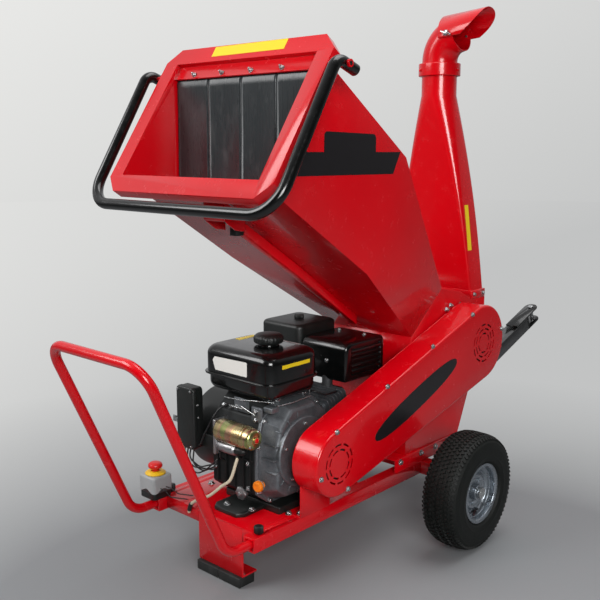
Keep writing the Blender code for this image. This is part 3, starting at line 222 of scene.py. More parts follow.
def blackEnamel(tree, colour, roughness):
    here = tree.place()
    dust = tree.band(tree.noise(here, 46.0, 6.0, 0.7), 0.50, 0.80)
    smear = tree.band(tree.noise(tree.place(Scale=(1.0, 1.0, 3.5)), 12.0, 4.0), 0.45, 0.75)
    tone = tree.mixColours(dust * 0.02, colour, shade(122, 118, 110))
    wave = tree.noise(here, 150.0, 2.0)
    return {"Base Color": tone, "Roughness": dust * 0.14 + smear * 0.07 + roughness,
            "Coat Weight": 0.35 - dust * 0.2, "Coat Roughness": 0.04, "Specular IOR Level": 0.40,
            "Normal": tree.bump(wave, 0.00012, 0.5)}


def mouldedPlastic(tree, colour, roughness, depth=0.00012):
    # spark-eroded grain, faint flow marks, dust held in the grain
    grain = 620.0
    here = tree.place()
    cells = tree.node("ShaderNodeTexVoronoi", {"feature": "SMOOTH_F1"}, {"Vector": here, "Scale": grain})
    fine = tree.noise(here, grain * 1.7, 3.0, 0.6)
    flow = tree.band(tree.noise(tree.place(Scale=(1.0, 2.5, 0.8)), 11.0, 3.0), 0.35, 0.7)
    dust = tree.band(tree.noise(here, 70.0, 5.0, 0.7), 0.55, 0.85)
    tone = tree.mixColours(flow * 0.16, colour, tuple(min(1.0, c * 1.7 + 0.004) for c in colour[:3]) + (1.0,))
    tone = tree.mixColours(dust * 0.025, tone, shade(150, 145, 136))
    return {"Base Color": tone, "Roughness": dust * 0.1 + flow * 0.05 + roughness,
            "Normal": tree.bump(cells * 0.6 + fine * 0.4, depth, 0.6)}


def rubberSheet(tree, colour, roughness):
    # rolled rubber: streaks down the strips, scuffs where wood has passed
    here = tree.place()
    streak = tree.noise(tree.place(Scale=(1.0, 1.0, 0.06)), 210.0, 3.0, 0.6)
    scuff = tree.band(tree.noise(tree.place(Scale=(1.0, 1.0, 0.35)), 38.0, 6.0, 0.7), 0.52, 0.75)
    cloth = tree.noise(here, 520.0, 2.0)
    tone = tree.mixColours(scuff * 0.30, colour, shade(74, 78, 78))
    return {"Base Color": tone, "Roughness": scuff * 0.16 + streak * 0.08 + roughness,
            "Normal": tree.bump(streak * 0.5 + cloth * 0.5, 0.0003, 0.5)}


def tyreRubber(tree, colour, roughness):
    here = tree.place()
    grime = tree.band(tree.noise(here, 55.0, 7.0, 0.7), 0.42, 0.75)
    speck = tree.band(tree.noise(here, 640.0, 2.0), 0.60, 0.75)
    tone = tree.mixColours(grime * 0.14 + speck * 0.08, colour, shade(52, 55, 50))
    return {"Base Color": tone, "Roughness": grime * 0.14 + roughness, "Specular IOR Level": 0.30,
            "Normal": tree.bump(tree.noise(here, 420.0, 4.0, 0.65), 0.0004, 0.6)}


def platedMetal(tree, colour, dull, roughness, spangle):
    # zinc spangle: crystals of slightly different brightness over a fine bloom
    here = tree.place()
    crystal = tree.node("ShaderNodeTexVoronoi", {}, {"Vector": here, "Scale": spangle}).output("Color")
    level = tree.node("ShaderNodeSeparateColor", {}, {"Color": crystal})
    bloom = tree.band(tree.noise(here, 60.0, 6.0, 0.7), 0.45, 0.75)
    tone = tree.mixColours(level * 0.5 + bloom * 0.4, colour, dull)
    return {"Base Color": tone, "Metallic": 0.95 - bloom * 0.12,
            "Roughness": level * 0.10 + bloom * 0.14 + roughness,
            "Normal": tree.bump(tree.noise(here, 340.0, 3.0), 0.00015, 0.5)}


def brushedSteel(tree, colour, dull, roughness):
    grainy = tree.noise(tree.place(Scale=(0.05, 1.0, 1.0)), 700.0, 3.0, 0.6)
    stain = tree.band(tree.noise(tree.place(), 40.0, 6.0, 0.7), 0.45, 0.78)
    return {"Base Color": tree.mixColours(stain * 0.6 + grainy * 0.2, colour, dull),
            "Metallic": 0.96 - stain * 0.15, "Roughness": grainy * 0.10 + stain * 0.15 + roughness,
            "Normal": tree.bump(grainy, 0.0001, 0.4)}


def sandCasting(tree, colour, dull, roughness):
    # as-cast skin, darker in the pits, with a lighter bloom over the high spots
    here = tree.place()
    pits = tree.noise(here, 480.0, 5.0, 0.65)
    bloom = tree.band(tree.noise(here, 26.0, 6.0, 0.7), 0.40, 0.70)
    tone = tree.mixColours(bloom, dull, colour)
    tone = tree.mixColours(tree.band(pits, 0.30, 0.48, 0.5, 0.0), tone, shade(40, 40, 42))
    return {"Base Color": tone, "Metallic": 0.55 + bloom * 0.2, "Roughness": bloom * 0.10 + roughness,
            "Normal": tree.bump(pits, 0.0005, 0.55)}


def passivated(tree, roughness):
    # yellow chromate over zinc, which drifts between straw, rose and green
    here = tree.place(Scale=(1.0, 0.25, 0.25))
    film = tree.node("ShaderNodeValToRGB", {"stops": [(0.36, shade(186, 168, 124)), (0.44, shade(206, 184, 130)),
                                                      (0.50, shade(196, 150, 128)), (0.56, shade(158, 170, 104)),
                                                      (0.66, shade(206, 190, 142))]},
                     {"Fac": tree.noise(here, 22.0, 2.0, 0.45)})
    haze = tree.band(tree.noise(tree.place(), 40.0, 3.0), 0.40, 0.80)
    return {"Base Color": tree.mixColours(haze * 0.15, film, shade(150, 120, 70)), "Metallic": 0.95,
            "Roughness": haze * 0.06 + roughness}


def vinyl(tree, colour, roughness=0.34):
    # a blank sticker: one colour, with faint print mottling and handling marks
    here = tree.place()
    mottle = tree.noise(here, 320.0, 3.0, 0.6)
    marks = tree.band(tree.noise(here, 48.0, 5.0, 0.7), 0.50, 0.80)
    tone = tree.mixColours(marks * 0.10 + mottle * 0.06, colour, tuple(c * 0.72 for c in colour[:3]) + (1.0,))
    return {"Base Color": tone, "Roughness": marks * 0.16 + roughness,
            "Normal": tree.bump(mottle, 0.00005, 0.5)}


def braidedSleeve(tree, colour, roughness):
    here = tree.place()
    ribs = tree.node("ShaderNodeTexWave", {"bands_direction": "DIAGONAL"}, {"Vector": here, "Scale": 260.0,
                                                                           "Distortion": 1.5})
    soil = tree.band(tree.noise(here, 60.0, 5.0, 0.7), 0.45, 0.75)
    return {"Base Color": tree.mixColours(soil * 0.45 + ribs * 0.12, colour, shade(128, 112, 92)),
            "Roughness": soil * 0.1 + roughness, "Normal": tree.bump(ribs, 0.0003, 0.5)}


redPaint = finishOf("redPaint", "red_paint", powderCoat, colour=shade(210, 0, 16), deep=shade(196, 0, 14),
                    roughness=0.20)
blackPaint = finishOf("blackPaint", "black_paint", blackEnamel, colour=shade(9, 10, 10), roughness=0.16)
blackPlastic = finishOf("blackPlastic", "black_plastic", mouldedPlastic, colour=shade(17, 20, 19), roughness=0.44)
wireBlack = finishOf("wireBlack", "black_plastic", mouldedPlastic, colour=shade(18, 18, 19), roughness=0.38,
                     depth=0.00005)
finishOf("padRubber", "rubber", rubberSheet, colour=shade(20, 21, 20), roughness=0.60)
curtainRubber = finishOf("curtainRubber", "rubber", rubberSheet, colour=shade(38, 43, 45), roughness=0.24)
wheelRubber = finishOf("wheelRubber", "tyre", tyreRubber, colour=shade(8, 11, 9), roughness=0.58)
brightZinc = finishOf("brightZinc", "zinc", platedMetal, colour=shade(196, 198, 198), dull=shade(150, 152, 154),
                      roughness=0.18, spangle=300.0)
galvanised = finishOf("galvanised", "zinc", platedMetal, colour=shade(160, 167, 174), dull=shade(138, 145, 152),
                      roughness=0.22, spangle=70.0)
bareSteel = finishOf("bareSteel", "steel", brushedSteel, colour=shade(170, 170, 172), dull=shade(112, 108, 104),
                     roughness=0.30)
greyCast = finishOf("greyCast", "cast_alloy", sandCasting, colour=shade(128, 132, 136), dull=shade(92, 96, 100),
                    roughness=0.40)
ironCast = finishOf("ironCast", "cast_iron", sandCasting, colour=shade(92, 94, 96), dull=shade(62, 63, 64),
                    roughness=0.52)
darkCast = finishOf("darkCast", "cast_iron", sandCasting, colour=shade(46, 48, 48), dull=shade(24, 26, 26),
                    roughness=0.50)
starterPlating = finishOf("starterPlating", "starter_plating", passivated, roughness=0.26)
greyPlastic = finishOf("greyPlastic", "grey_plastic", mouldedPlastic, colour=shade(150, 153, 154), roughness=0.42,
                       depth=0.00008)
yellowPlastic = finishOf("yellowPlastic", "yellow_plastic", mouldedPlastic, colour=shade(226, 176, 18),
                         roughness=0.36, depth=0.00006)
redPlastic = finishOf("redPlastic", "red_plastic", mouldedPlastic, colour=shade(204, 22, 20), roughness=0.30,
                      depth=0.00005)
orangePlastic = finishOf("orangePlastic", "orange_plastic", mouldedPlastic, colour=shade(240, 128, 14),
                         roughness=0.40, depth=0.00008)
leadSleeve = finishOf("leadSleeve", "cable_sleeve", braidedSleeve, colour=shade(206, 194, 170), roughness=0.62)
yellowVinyl = finishOf("yellowVinyl", "yellow_plastic", vinyl, colour=shade(232, 204, 22))
blackVinyl = finishOf("blackVinyl", "black_plastic", vinyl, colour=shade(24, 22, 24), roughness=0.30)
whiteVinyl = finishOf("whiteVinyl", "grey_plastic", vinyl, colour=shade(224, 222, 216))
greyVinyl = finishOf("greyVinyl", "grey_plastic", vinyl, colour=shade(150, 150, 150))
print("finishes made:", len(bpy.data.materials))


# shaping helpers

def applyModifiers(obj):
    depsgraph = bpy.context.evaluated_depsgraph_get()
    made = bpy.data.meshes.new_from_object(obj.evaluated_get(depsgraph), preserve_all_data_layers=True,
                                           depsgraph=depsgraph)
    old = obj.data
    obj.modifiers.clear()
    obj.data = made
    bpy.data.meshes.remove(old)


def roundOff(obj, width, segments=2, angle=28):
    bevel = obj.modifiers.new("roundedEdges", "BEVEL")
    bevel.width = width
    bevel.segments = segments
    bevel.limit_method = "ANGLE"
    bevel.angle_limit = math.radians(angle)
    bevel.miter_outer = "MITER_ARC"
    bevel.harden_normals = True


def smooth(obj, sharp):
    obj.data.shade_smooth()
    obj.data.set_sharp_from_angle(angle=math.radians(sharp))


def settle(obj, name, body, material, replaces=(), slot=None):
    # the last step of every piece: its name, its body and the nodes that it stands for
    obj.name = name
    if not obj.data.materials:
        obj.data.materials.append(material)
    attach(obj, body)
    slot or slotForFinish[material.name]
    if replaces:
        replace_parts(obj, *replaces)
    return obj


def camel(name):
    first, *rest = name.split("_")
    return first + "".join(word.capitalize() for word in rest)


def dress(node, material=None, rounding=0.0012, sharp=38):
    # the node's own shape with its flat faces whole again and its edges broken
    bm = bmesh.new()
    bm.from_mesh(cadNodes[node].data)
    bmesh.ops.remove_doubles(bm, verts=bm.verts, dist=2e-6)
    bmesh.ops.dissolve_limit(bm, angle_limit=math.radians(0.4), verts=bm.verts, edges=bm.edges)
    mesh = bpy.data.meshes.new(node)
    bm.to_mesh(mesh)
    bm.free()
    obj = bpy.data.objects.new(camel(node) + "Shell", mesh)
    scene.collection.objects.link(obj)
    roundOff(obj, rounding)
    applyModifiers(obj)
    smooth(obj, sharp)
    settle(obj, obj.name, bodyOf[node], material or slotFinish[slotOf[node]], (node,), slotOf[node])


def turnTo(axis):
    return Vector((0, 0, 1)).rotation_difference(Vector(axis)).to_matrix().to_4x4()


def arc(centre, radius, start, end, steps):
    # points on an arc, in degrees
    return [(centre[0] + radius * math.cos(math.radians(start + (end - start) * k / steps)),
             centre[1] + radius * math.sin(math.radians(start + (end - start) * k / steps)))
            for k in range(steps + 1)]


def softCorners(points, radii, steps=5, closed=True):
    # an outline or a path with an arc at each corner, as tight as its neighbours allow
    points = [Vector(p) for p in points]
    count = len(points)
    radii = [radii] * count if isinstance(radii, (int, float)) else list(radii)
    made = []
    for i, corner in enumerate(points):
        if radii[i] <= 0 or (not closed and i in (0, count - 1)):
            made.append(corner)
            continue
        back = points[i - 1] - corner
        ahead = points[(i + 1) % count] - corner
        half = back.angle(ahead) / 2
        reach = min(radii[i] / math.tan(half), back.length * 0.49, ahead.length * 0.49)
        radius = reach * math.tan(half)
        back, ahead = back.normalized(), ahead.normalized()
        centre = corner + (back + ahead).normalized() * (radius / math.sin(half))
        start, end = corner + back * reach - centre, corner + ahead * reach - centre
        turn = start.angle(end)
        for k in range(steps + 1):
            t = k / steps
            made.append(centre + (start * math.sin((1 - t) * turn) + end * math.sin(t * turn)) / math.sin(turn))
    return made


def quarter(radius, steps=6):
    # how far an edge's rounding has drawn in and risen, round a quarter of a circle
    turns = [math.pi / 2 * k / steps for k in range(steps + 1)]
    return [(radius * (1 - math.cos(turn)), radius * math.sin(turn)) for turn in turns]


def wavyRing(at, radius, level, lobes, count, wave=0.0, standing=False):
    # a ring with a rippled edge, lying at its level or standing across the machine
    ring = []
    for k in range(count):
        a = math.tau * k / count
        wide = radius + wave * math.cos(lobes * a)
        u, v = at[0] + wide * math.cos(a), at[1] + wide * math.sin(a)
        ring.append(Vector((u, level, v)) if standing else Vector((u, v, level)))
    return ring


def rectangle(xs, ys):
    return [(xs[0], ys[0]), (xs[1], ys[0]), (xs[1], ys[1]), (xs[0], ys[1])]


def roundedRectangle(halfX, halfY, radius, steps=6):
    points = []
    for signX, signY, start in ((1, 1, 0), (-1, 1, 90), (-1, -1, 180), (1, -1, 270)):
        points += arc((signX * (halfX - radius), signY * (halfY - radius)), radius, start, start + 90, steps)
    return points


def beltOutline(low, lowR, high, highR):
    # the outline of a belt drawn tight round two pulleys
    along = math.degrees(math.atan2(high[1] - low[1], high[0] - low[0]))
    spread = math.degrees(math.asin((highR - lowR) / math.dist(low, high)))
    top, bottom = along + 90 + spread, along - 90 - spread
    return arc(high, highR, bottom, top, 30) + arc(low, lowR, top, bottom + 360, 30)


class Shape:
    # gathers the closed parts of one piece
    planes = {"YZ": lambda a, b, c: (c, a, b), "XZ": lambda a, b, c: (a, c, b), "XY": lambda a, b, c: (a, b, c)}

    def __init__(self):
        self.mesh = bmesh.new()

    def skin(self, loops, closed=False):
        # faces from each loop to the next, with a cap on both ends unless the loops close on themselves
        rings = [[self.mesh.verts.new(point) for point in loop] for loop in loops]
        pairs = list(zip(rings, rings[1:]))
        if closed:
            pairs.append((rings[-1], rings[0]))
        for low, high in pairs:
            count = max(len(low), len(high))
            for i in range(count):
                j = (i + 1) % count
                corners = (low[i % len(low)], low[j % len(low)], high[j % len(high)], high[i % len(high)])
                self.mesh.faces.new(list(dict.fromkeys(corners)))  # three corners where a ring is one point
        if not closed:
            for ring in (rings[0], rings[-1]):
                if len(ring) > 2:
                    self.mesh.faces.new(ring)
        return self

    def prism(self, outline, span, plane="YZ", frame=None):
        frame = frame or Matrix.Identity(4)
        order = self.planes[plane]
        return self.skin([[frame @ Vector(order(point[0], point[1], level)) for point in outline] for level in span])

    def box(self, xs, ys, zs):
        return self.prism(rectangle(xs, ys), zs, "XY")

    def lathe(self, profile, at, axis, sides=56, ring=False):
        # a profile of (radius, height) points turned about an axis; a ring is open in the middle
        frame = Matrix.Translation(at) @ turnTo(axis)
        loops = []
        for radius, height in profile:
            turns = [math.tau * i / sides for i in range(sides)] if radius else [0.0]
            loops.append([frame @ Vector((radius * math.cos(a), radius * math.sin(a), height)) for a in turns])
        return self.skin(loops, ring)

    def tube(self, path, radius, sides=20):
        # a round section carried along a path without twisting
        path = [Vector(p) for p in path]
        ends = range(len(path))
        last = len(path) - 1
        tangents = [((path[min(i + 1, last)] - path[i]).normalized()
                     + (path[i] - path[max(i - 1, 0)]).normalized()).normalized() for i in ends]
        side = tangents[0].orthogonal().normalized()
        loops = []
        for i in ends:
            if i:
                side = tangents[i - 1].rotation_difference(tangents[i]) @ side
            other = tangents[i].cross(side)
            loops.append([path[i] + radius * (math.cos(math.tau * k / sides) * side
                                              + math.sin(math.tau * k / sides) * other) for k in range(sides)])
        return self.skin(loops)

    def block(self, xs, ys, zs, corner, top=0.0, low=0.0, steps=5, taper=0.0):
        # a block with round upright corners and arcs round its top and bottom edges
        mid = ((xs[0] + xs[1]) / 2, (ys[0] + ys[1]) / 2)
        half = ((xs[1] - xs[0]) / 2, (ys[1] - ys[0]) / 2)
        levels = [(zs[0] + draw, low - rise) for draw, rise in quarter(low, steps)] if low else [(zs[0], 0.0)]
        upper = [(zs[1] - top + rise, draw + taper) for draw, rise in quarter(top, steps)] if top else [(zs[1], taper)]
        loops = []
        for z, inset in levels + upper:
            radius = max(corner - inset * 0.6, 0.0015)
            outline = roundedRectangle(half[0] - inset, half[1] - inset, radius, steps)
            loops.append([(mid[0] + x, mid[1] + y, z) for x, y in outline])
        return self.skin(loops)

    def object(self, name, rounding=0.0, segments=2, cuts=(), angle=28):
        # the parts so far as one object, in the frame, with its cuts made and its edges rounded
        bmesh.ops.remove_doubles(self.mesh, verts=self.mesh.verts, dist=1e-6)
        bmesh.ops.recalc_face_normals(self.mesh, faces=self.mesh.faces)
        mesh = bpy.data.meshes.new(name)
        self.mesh.to_mesh(mesh)
        self.mesh.free()
        mesh.transform(Matrix.Translation(fromAxle))
        obj = bpy.data.objects.new(name, mesh)
        scene.collection.objects.link(obj)
        for tool in cuts:
            boolean = obj.modifiers.new(tool.name, "BOOLEAN")
            boolean.operation = "DIFFERENCE"
            boolean.solver = "EXACT"
            boolean.object = tool
        if rounding:
            roundOff(obj, rounding, segments, angle)
        if cuts or rounding:
            applyModifiers(obj)
        for tool in cuts:
            bpy.data.objects.remove(tool)
        return obj

    def piece(self, name, body, material, replaces=(), rounding=0.0, segments=2, sharp=38, cuts=(), angle=28):
        obj = self.object(name, rounding, segments, cuts, angle)
        smooth(obj, sharp)
        return settle(obj, name, body, material, replaces)


# geometry node trees for what repeats

def geometryTree(name, inputs):
    group = bpy.data.node_groups.new(name, "GeometryNodeTree")
    group.interface.new_socket("Geometry", in_out="INPUT", socket_type="NodeSocketGeometry")
    for label, kind, value in inputs:
        socket = group.interface.new_socket(label, in_out="INPUT", socket_type="NodeSocket" + kind)
        if value is not None:
            socket.default_value = value
    group.interface.new_socket("Geometry", in_out="OUTPUT", socket_type="NodeSocketGeometry")
    tree = NodeTree(group)
    tree.entry = group.nodes.new("NodeGroupInput")
    return tree


def closeTree(tree, geometry):
    whole = tree.node("GeometryNodeRealizeInstances", {}, {"Geometry": geometry})
    done = tree.node("GeometryNodeSetMaterial", {}, {"Geometry": whole, "Material": tree.entries("Material")[0]})
    end = tree.data.nodes.new("NodeGroupOutput")
    tree.feed(end.inputs[0], done)
    return tree.data


def grow(name, mesh, group, values):
    # runs a tree on a mesh and keeps the result as a plain mesh
    obj = bpy.data.objects.new(name, mesh)
    scene.collection.objects.link(obj)
    modifier = obj.modifiers.new(name, "NODES")
    modifier.node_group = group
    for item in group.interface.items_tree:
        if item.in_out == "INPUT" and item.name in values:
            modifier[item.identifier] = values[item.name]
    applyModifiers(obj)
    return obj


def makeFastenerTree():
    # heads with washers, standing on points and facing along each point's own direction
    tree = geometryTree("fastenerField", [("Sides", "Int", 6), ("Across", "Float", 0.013), ("Height", "Float", 0.005),
                                          ("Washer", "Float", 0.018), ("Stud", "Float", 0.0), ("Seed", "Int", 3),
                                          ("Material", "Material", None)])
    sides, across, height, washerWide, studLong, seed, points = tree.entries(
        "Sides", "Across", "Height", "Washer", "Stud", "Seed", "Geometry")
    washerHigh = 0.0014
    corner = across * 0.56  # from the middle to a corner of the head

    def solid(kind, vertices, depth, level, **radii):
        # a cylinder or a cone that stands at its level
        sizes = {name.replace("_", " "): radius for name, radius in radii.items()}
        made = tree.node("GeometryNodeMesh" + kind, {}, {"Vertices": vertices, "Depth": depth, **sizes})
        move = tree.node("ShaderNodeCombineXYZ", {}, {"Z": level})
        return tree.node("GeometryNodeTransform", {}, {"Geometry": made, "Translation": move})

    washer = solid("Cylinder", 22, washerHigh, washerHigh / 2, Radius=washerWide * 0.5)
    head = solid("Cylinder", sides, height, height * 0.5 + washerHigh, Radius=corner)
    crown = solid("Cone", sides, height * 0.22, height + washerHigh, Radius_Top=across * 0.40, Radius_Bottom=corner)
    stud = solid("Cylinder", 14, studLong + 0.0005, height * 1.2 + washerHigh + studLong * 0.5, Radius=across * 0.26)
    parts = tree.data.nodes.new("GeometryNodeJoinGeometry")
    for part in (washer, head, crown, stud):
        tree.data.links.new(part.socket, parts.inputs[0])
    facing = tree.node("GeometryNodeInputNamedAttribute", {"data_type": "FLOAT_VECTOR"}, {"Name": "facing"})
    aimed = tree.node("FunctionNodeAlignRotationToVector", {"axis": "Z"}, {"Vector": facing})
    chance = tree.node("FunctionNodeRandomValue", {"data_type": "FLOAT"}, {"Seed": seed})
    spin = tree.node("ShaderNodeCombineXYZ", {}, {"Z": chance.output("Value_001") * math.tau})
    turn = tree.node("FunctionNodeEulerToRotation", {}, {"Euler": spin})
    whole = tree.node("FunctionNodeRotateRotation", {"rotation_space": "LOCAL"},
                      {"Rotation": aimed, "Rotate By": turn})
    placed = tree.node("GeometryNodeInstanceOnPoints", {},
                       {"Points": points, "Instance": Wire(tree, parts.outputs[0]), "Rotation": whole})
    return closeTree(tree, placed)


fastenerTree = makeFastenerTree()


def fasteners(name, body, points, across, height, washer, sides=6, stud=0.0, material=brightZinc, seed=3):
    # points are (place, facing); across is the head's size over its flats, washer and stud are widths and lengths
    mesh = bpy.data.meshes.new(name)
    mesh.from_pydata([Vector(place) + fromAxle for place, _ in points], [], [])
    facing = mesh.attributes.new("facing", "FLOAT_VECTOR", "POINT")
    for slotItem, (_, direction) in zip(facing.data, points):
        slotItem.vector = Vector(direction).normalized()
    obj = grow(name, mesh, fastenerTree, {"Sides": sides, "Across": across, "Height": height, "Washer": washer,
                                          "Stud": stud, "Seed": seed, "Material": material})
    roundOff(obj, 0.0004, 1, 40)
    applyModifiers(obj)
    smooth(obj, 40)
    settle(obj, name, body, material)


# the stage: floor, light and camera

# the floor's near and far tones are painted light and shade: paler near the machine, darker far off
stageLook = {"floorNear": shade(130, 132, 134), "floorFar": shade(92, 93, 94), "fibre": shade(120, 120, 120),
             "floorRadius": 16.0, "fadeFrom": (0.50, -0.63, 0.0), "eyeHeight": 1.1,
             # the two sky tones paint a light falloff on the backdrop, palest toward the upper left
             "sky": (shade(194, 195, 195), shade(235, 235, 233)), "palest": (-0.66, -0.60, 1.5),
             "room": (0.03, 0.70), "roomPalest": (-0.55, 0.45, 0.70), "spread": 105.0}
lampLooks = {"keyPanel": {"place": (-2.0, -3.3, 2.9), "aim": (0.0, -0.5, 0.8), "size": (2.6, 2.0), "power": 38},
             "topPanel": {"place": (0.5, 0.3, 3.5), "aim": (0.0, 0.0, 0.4), "size": (2.2, 2.2), "power": 20},
             "sidePanel": {"place": (2.9, -2.6, 1.9), "aim": (0.1, -0.2, 0.6), "size": (1.5, 1.5), "power": 37}}
cameraLook = {"place": (1.555359, -1.996921, 1.119266), "yaw": 0.739742, "pitch": 0.179134, "lens": 51.02799,
              "sensor": 36.0, "clip": (0.05, 60.0)}


def skyPaintedLightFalloff(tree, way):
    # painted light: the backdrop is painted palest at the upper left and darker away from it, a painted light falloff
    toward = tree.vectors("DOT_PRODUCT", way, stageLook["palest"]).output("Value")
    return tree.mixColours(tree.band(toward, -0.5, 0.6), *stageLook["sky"])


def buildFloor():
    look = stageLook
    rim = [(look["floorRadius"] * x, look["floorRadius"] * y) for x, y in arc((0, 0), 1.0, 0, 356.25, 95)]
    floor = Shape().prism(rim, (-0.0105, -0.0005), "XY").object("studioFloor")
    material = bpy.data.materials.new("studioPaper")
    material.use_nodes = True
    tree = NodeTree(material.node_tree)
    shader = material.node_tree.nodes["Principled BSDF"]
    here = tree.place()
    away = tree.vectors("LENGTH", tree.vectors("SUBTRACT", here, look["fadeFrom"])).output("Value")
    near = tree.maths("DIVIDE", 1.0, away)
    # painted light: the floor is painted paler near the machine and darker far off, a painted pool of light whose
    # painted shade also dims the floor where the paint reflects it
    tone = tree.mixColours(tree.band(near, 0.10, 0.36, 1.0, 0.0), look["floorNear"], look["floorFar"])
    tree.feed(shader.inputs["Base Color"], tree.mixColours(tree.noise(here, 60.0, 4.0) * 0.04, tone, look["fibre"]))
    tree.feed(shader.inputs["Roughness"], 0.75)
    # far from the machine the floor takes the backdrop's colour, for the camera only
    way = tree.vectors("NORMALIZE", tree.vectors("ADD", here, (0.0, 0.0, -look["eyeHeight"])))
    glow = tree.node("ShaderNodeEmission", {}, {"Color": skyPaintedLightFalloff(tree, way), "Strength": 1.0})
    seen = tree.node("ShaderNodeLightPath").output("Is Camera Ray")
    share = tree.band(near, 0.42, 1.00, 1.0, 0.0) * seen
    both = tree.node("ShaderNodeMixShader", {}, {0: share, 1: Wire(tree, shader.outputs[0]), 2: glow})
    tree.feed(material.node_tree.nodes["Material Output"].inputs["Surface"], both)
    floor.data.materials.append(material)


def buildRoom():
    world = bpy.data.worlds.new("studio")
    world.use_nodes = True
    scene.world = world
    tree = NodeTree(world.node_tree)
    sky = world.node_tree.nodes["Background"]
    # the room is paler on the side of the paper sweep and darker behind the camera
    way = tree.node("ShaderNodeTexCoord").output("Generated")
    toward = tree.vectors("DOT_PRODUCT", way, stageLook["roomPalest"]).output("Value")
    room = tree.band(toward, -0.10, 0.95, *stageLook["room"])
    seen = tree.node("ShaderNodeLightPath").output("Is Camera Ray")
    grey = tree.node("ShaderNodeCombineColor", {}, {"Red": room, "Green": room, "Blue": room * 1.02})
    # camera rays see the backdrop with its painted light falloff
    tree.feed(sky.inputs["Color"], tree.mixColours(seen, grey, skyPaintedLightFalloff(tree, way)))
    tree.feed(sky.inputs["Strength"], 1.0)


def hold(name, data, place, ahead):
    # a lamp or a camera at its place, looking ahead
    holder = bpy.data.objects.new(name, data)
    holder.location = place
    holder.rotation_euler = ahead.to_track_quat("-Z", "Y").to_euler()
    scene.collection.objects.link(holder)
    return holder


def buildLights():
    for name, look in lampLooks.items():
        lamp = bpy.data.lights.new(name, "AREA")
        lamp.shape = "RECTANGLE"
        lamp.size, lamp.size_y = look["size"]
        lamp.energy = look["power"]
        lamp.spread = math.radians(stageLook["spread"])
        hold(name, lamp, look["place"], Vector(look["aim"]) - Vector(look["place"]))


def buildCamera():
    look = cameraLook
    camera = bpy.data.cameras.new("studioCamera")
    camera.sensor_width = look["sensor"]
    camera.lens = look["lens"]
    camera.clip_start, camera.clip_end = look["clip"]
    yaw, pitch = look["yaw"], look["pitch"]
    ahead = Vector((-math.sin(yaw) * math.cos(pitch), math.cos(yaw) * math.cos(pitch), -math.sin(pitch)))
    scene.camera = hold("studioCamera", camera, Vector(look["place"]) + fromAxle, ahead)
    scene.view_settings.view_transform = "Standard"


buildFloor()
buildRoom()
buildLights()
buildCamera()
print("stage set")


# wheels

tyreLook = {"crown": 0.1597, "halfWidth": 0.0495, "rows": 8, "around": 74, "block": (0.0100, 0.0078, 0.0052),
            "lean": 26.0, "shoulderDrop": 0.0125, "shoulderTilt": 46.0}


def makeTreadTree():
    # staggered rows of tapered blocks round a crowned casing
    tree = geometryTree("treadBlocks", [("Centre", "Vector", (0, 0, 0)), ("Crown", "Float", 0.16),
                                        ("Half Width", "Float", 0.05), ("Rows", "Int", 8), ("Around", "Int", 70),
                                        ("Block", "Vector", (0.01, 0.008, 0.005)), ("Lean", "Float", 0.4),
                                        ("Drop", "Float", 0.012), ("Tilt", "Float", 0.8),
                                        ("Material", "Material", None)])
    centre, crown, halfWide, rows, around, block, leanBy, drop, tiltBy = tree.entries(
        "Centre", "Crown", "Half Width", "Rows", "Around", "Block", "Lean", "Drop", "Tilt")
    index = tree.node("GeometryNodeInputIndex")
    row = tree.maths("FLOOR", (index + 0.5) / around)
    odd = row % 2.0
    across = (row + 0.5) / rows * 2.0 - 1.0
    angle = (index - row * around + odd * 0.5) / around * math.tau
    cosine, sine = tree.maths("COSINE", angle), tree.maths("SINE", angle)
    cube = across * across * across
    radius = crown - cube * across * drop
    tilt = cube * tiltBy
    tiltCosine, tiltSine = tree.maths("COSINE", tilt), tree.maths("SINE", tilt)
    spot = tree.node("ShaderNodeCombineXYZ", {}, {"X": across * halfWide, "Y": cosine * radius, "Z": sine * radius})
    spot = tree.vectors("ADD", spot, centre)
    outward = tree.node("ShaderNodeCombineXYZ", {}, {"X": tiltSine, "Y": cosine * tiltCosine,
                                                     "Z": sine * tiltCosine})
    leanSine = tree.maths("SINE", (odd * 2.0 - 1.0) * leanBy)
    along = tree.node("ShaderNodeCombineXYZ", {}, {"X": 1.0, "Y": leanSine * sine * -1.0, "Z": leanSine * cosine})
    points = tree.node("GeometryNodePoints", {}, {"Count": rows * around, "Position": spot})
    upright = tree.node("FunctionNodeAlignRotationToVector", {"axis": "Z"}, {"Vector": outward})
    aimed = tree.node("FunctionNodeAlignRotationToVector", {"axis": "X", "pivot_axis": "Z"},
                      {"Rotation": upright, "Vector": along})
    stub = tree.node("GeometryNodeMeshCone", {},
                     {"Vertices": 4, "Radius Top": 0.56, "Radius Bottom": 0.7071, "Depth": 1.0})
    square = tree.node("GeometryNodeTransform", {}, {"Geometry": stub, "Rotation": (0, 0, math.pi / 4)})
    sized = tree.node("GeometryNodeTransform", {}, {"Geometry": square, "Scale": block})
    placed = tree.node("GeometryNodeInstanceOnPoints", {}, {"Points": points, "Instance": sized, "Rotation": aimed})
    return closeTree(tree, placed)


treadTree = makeTreadTree()


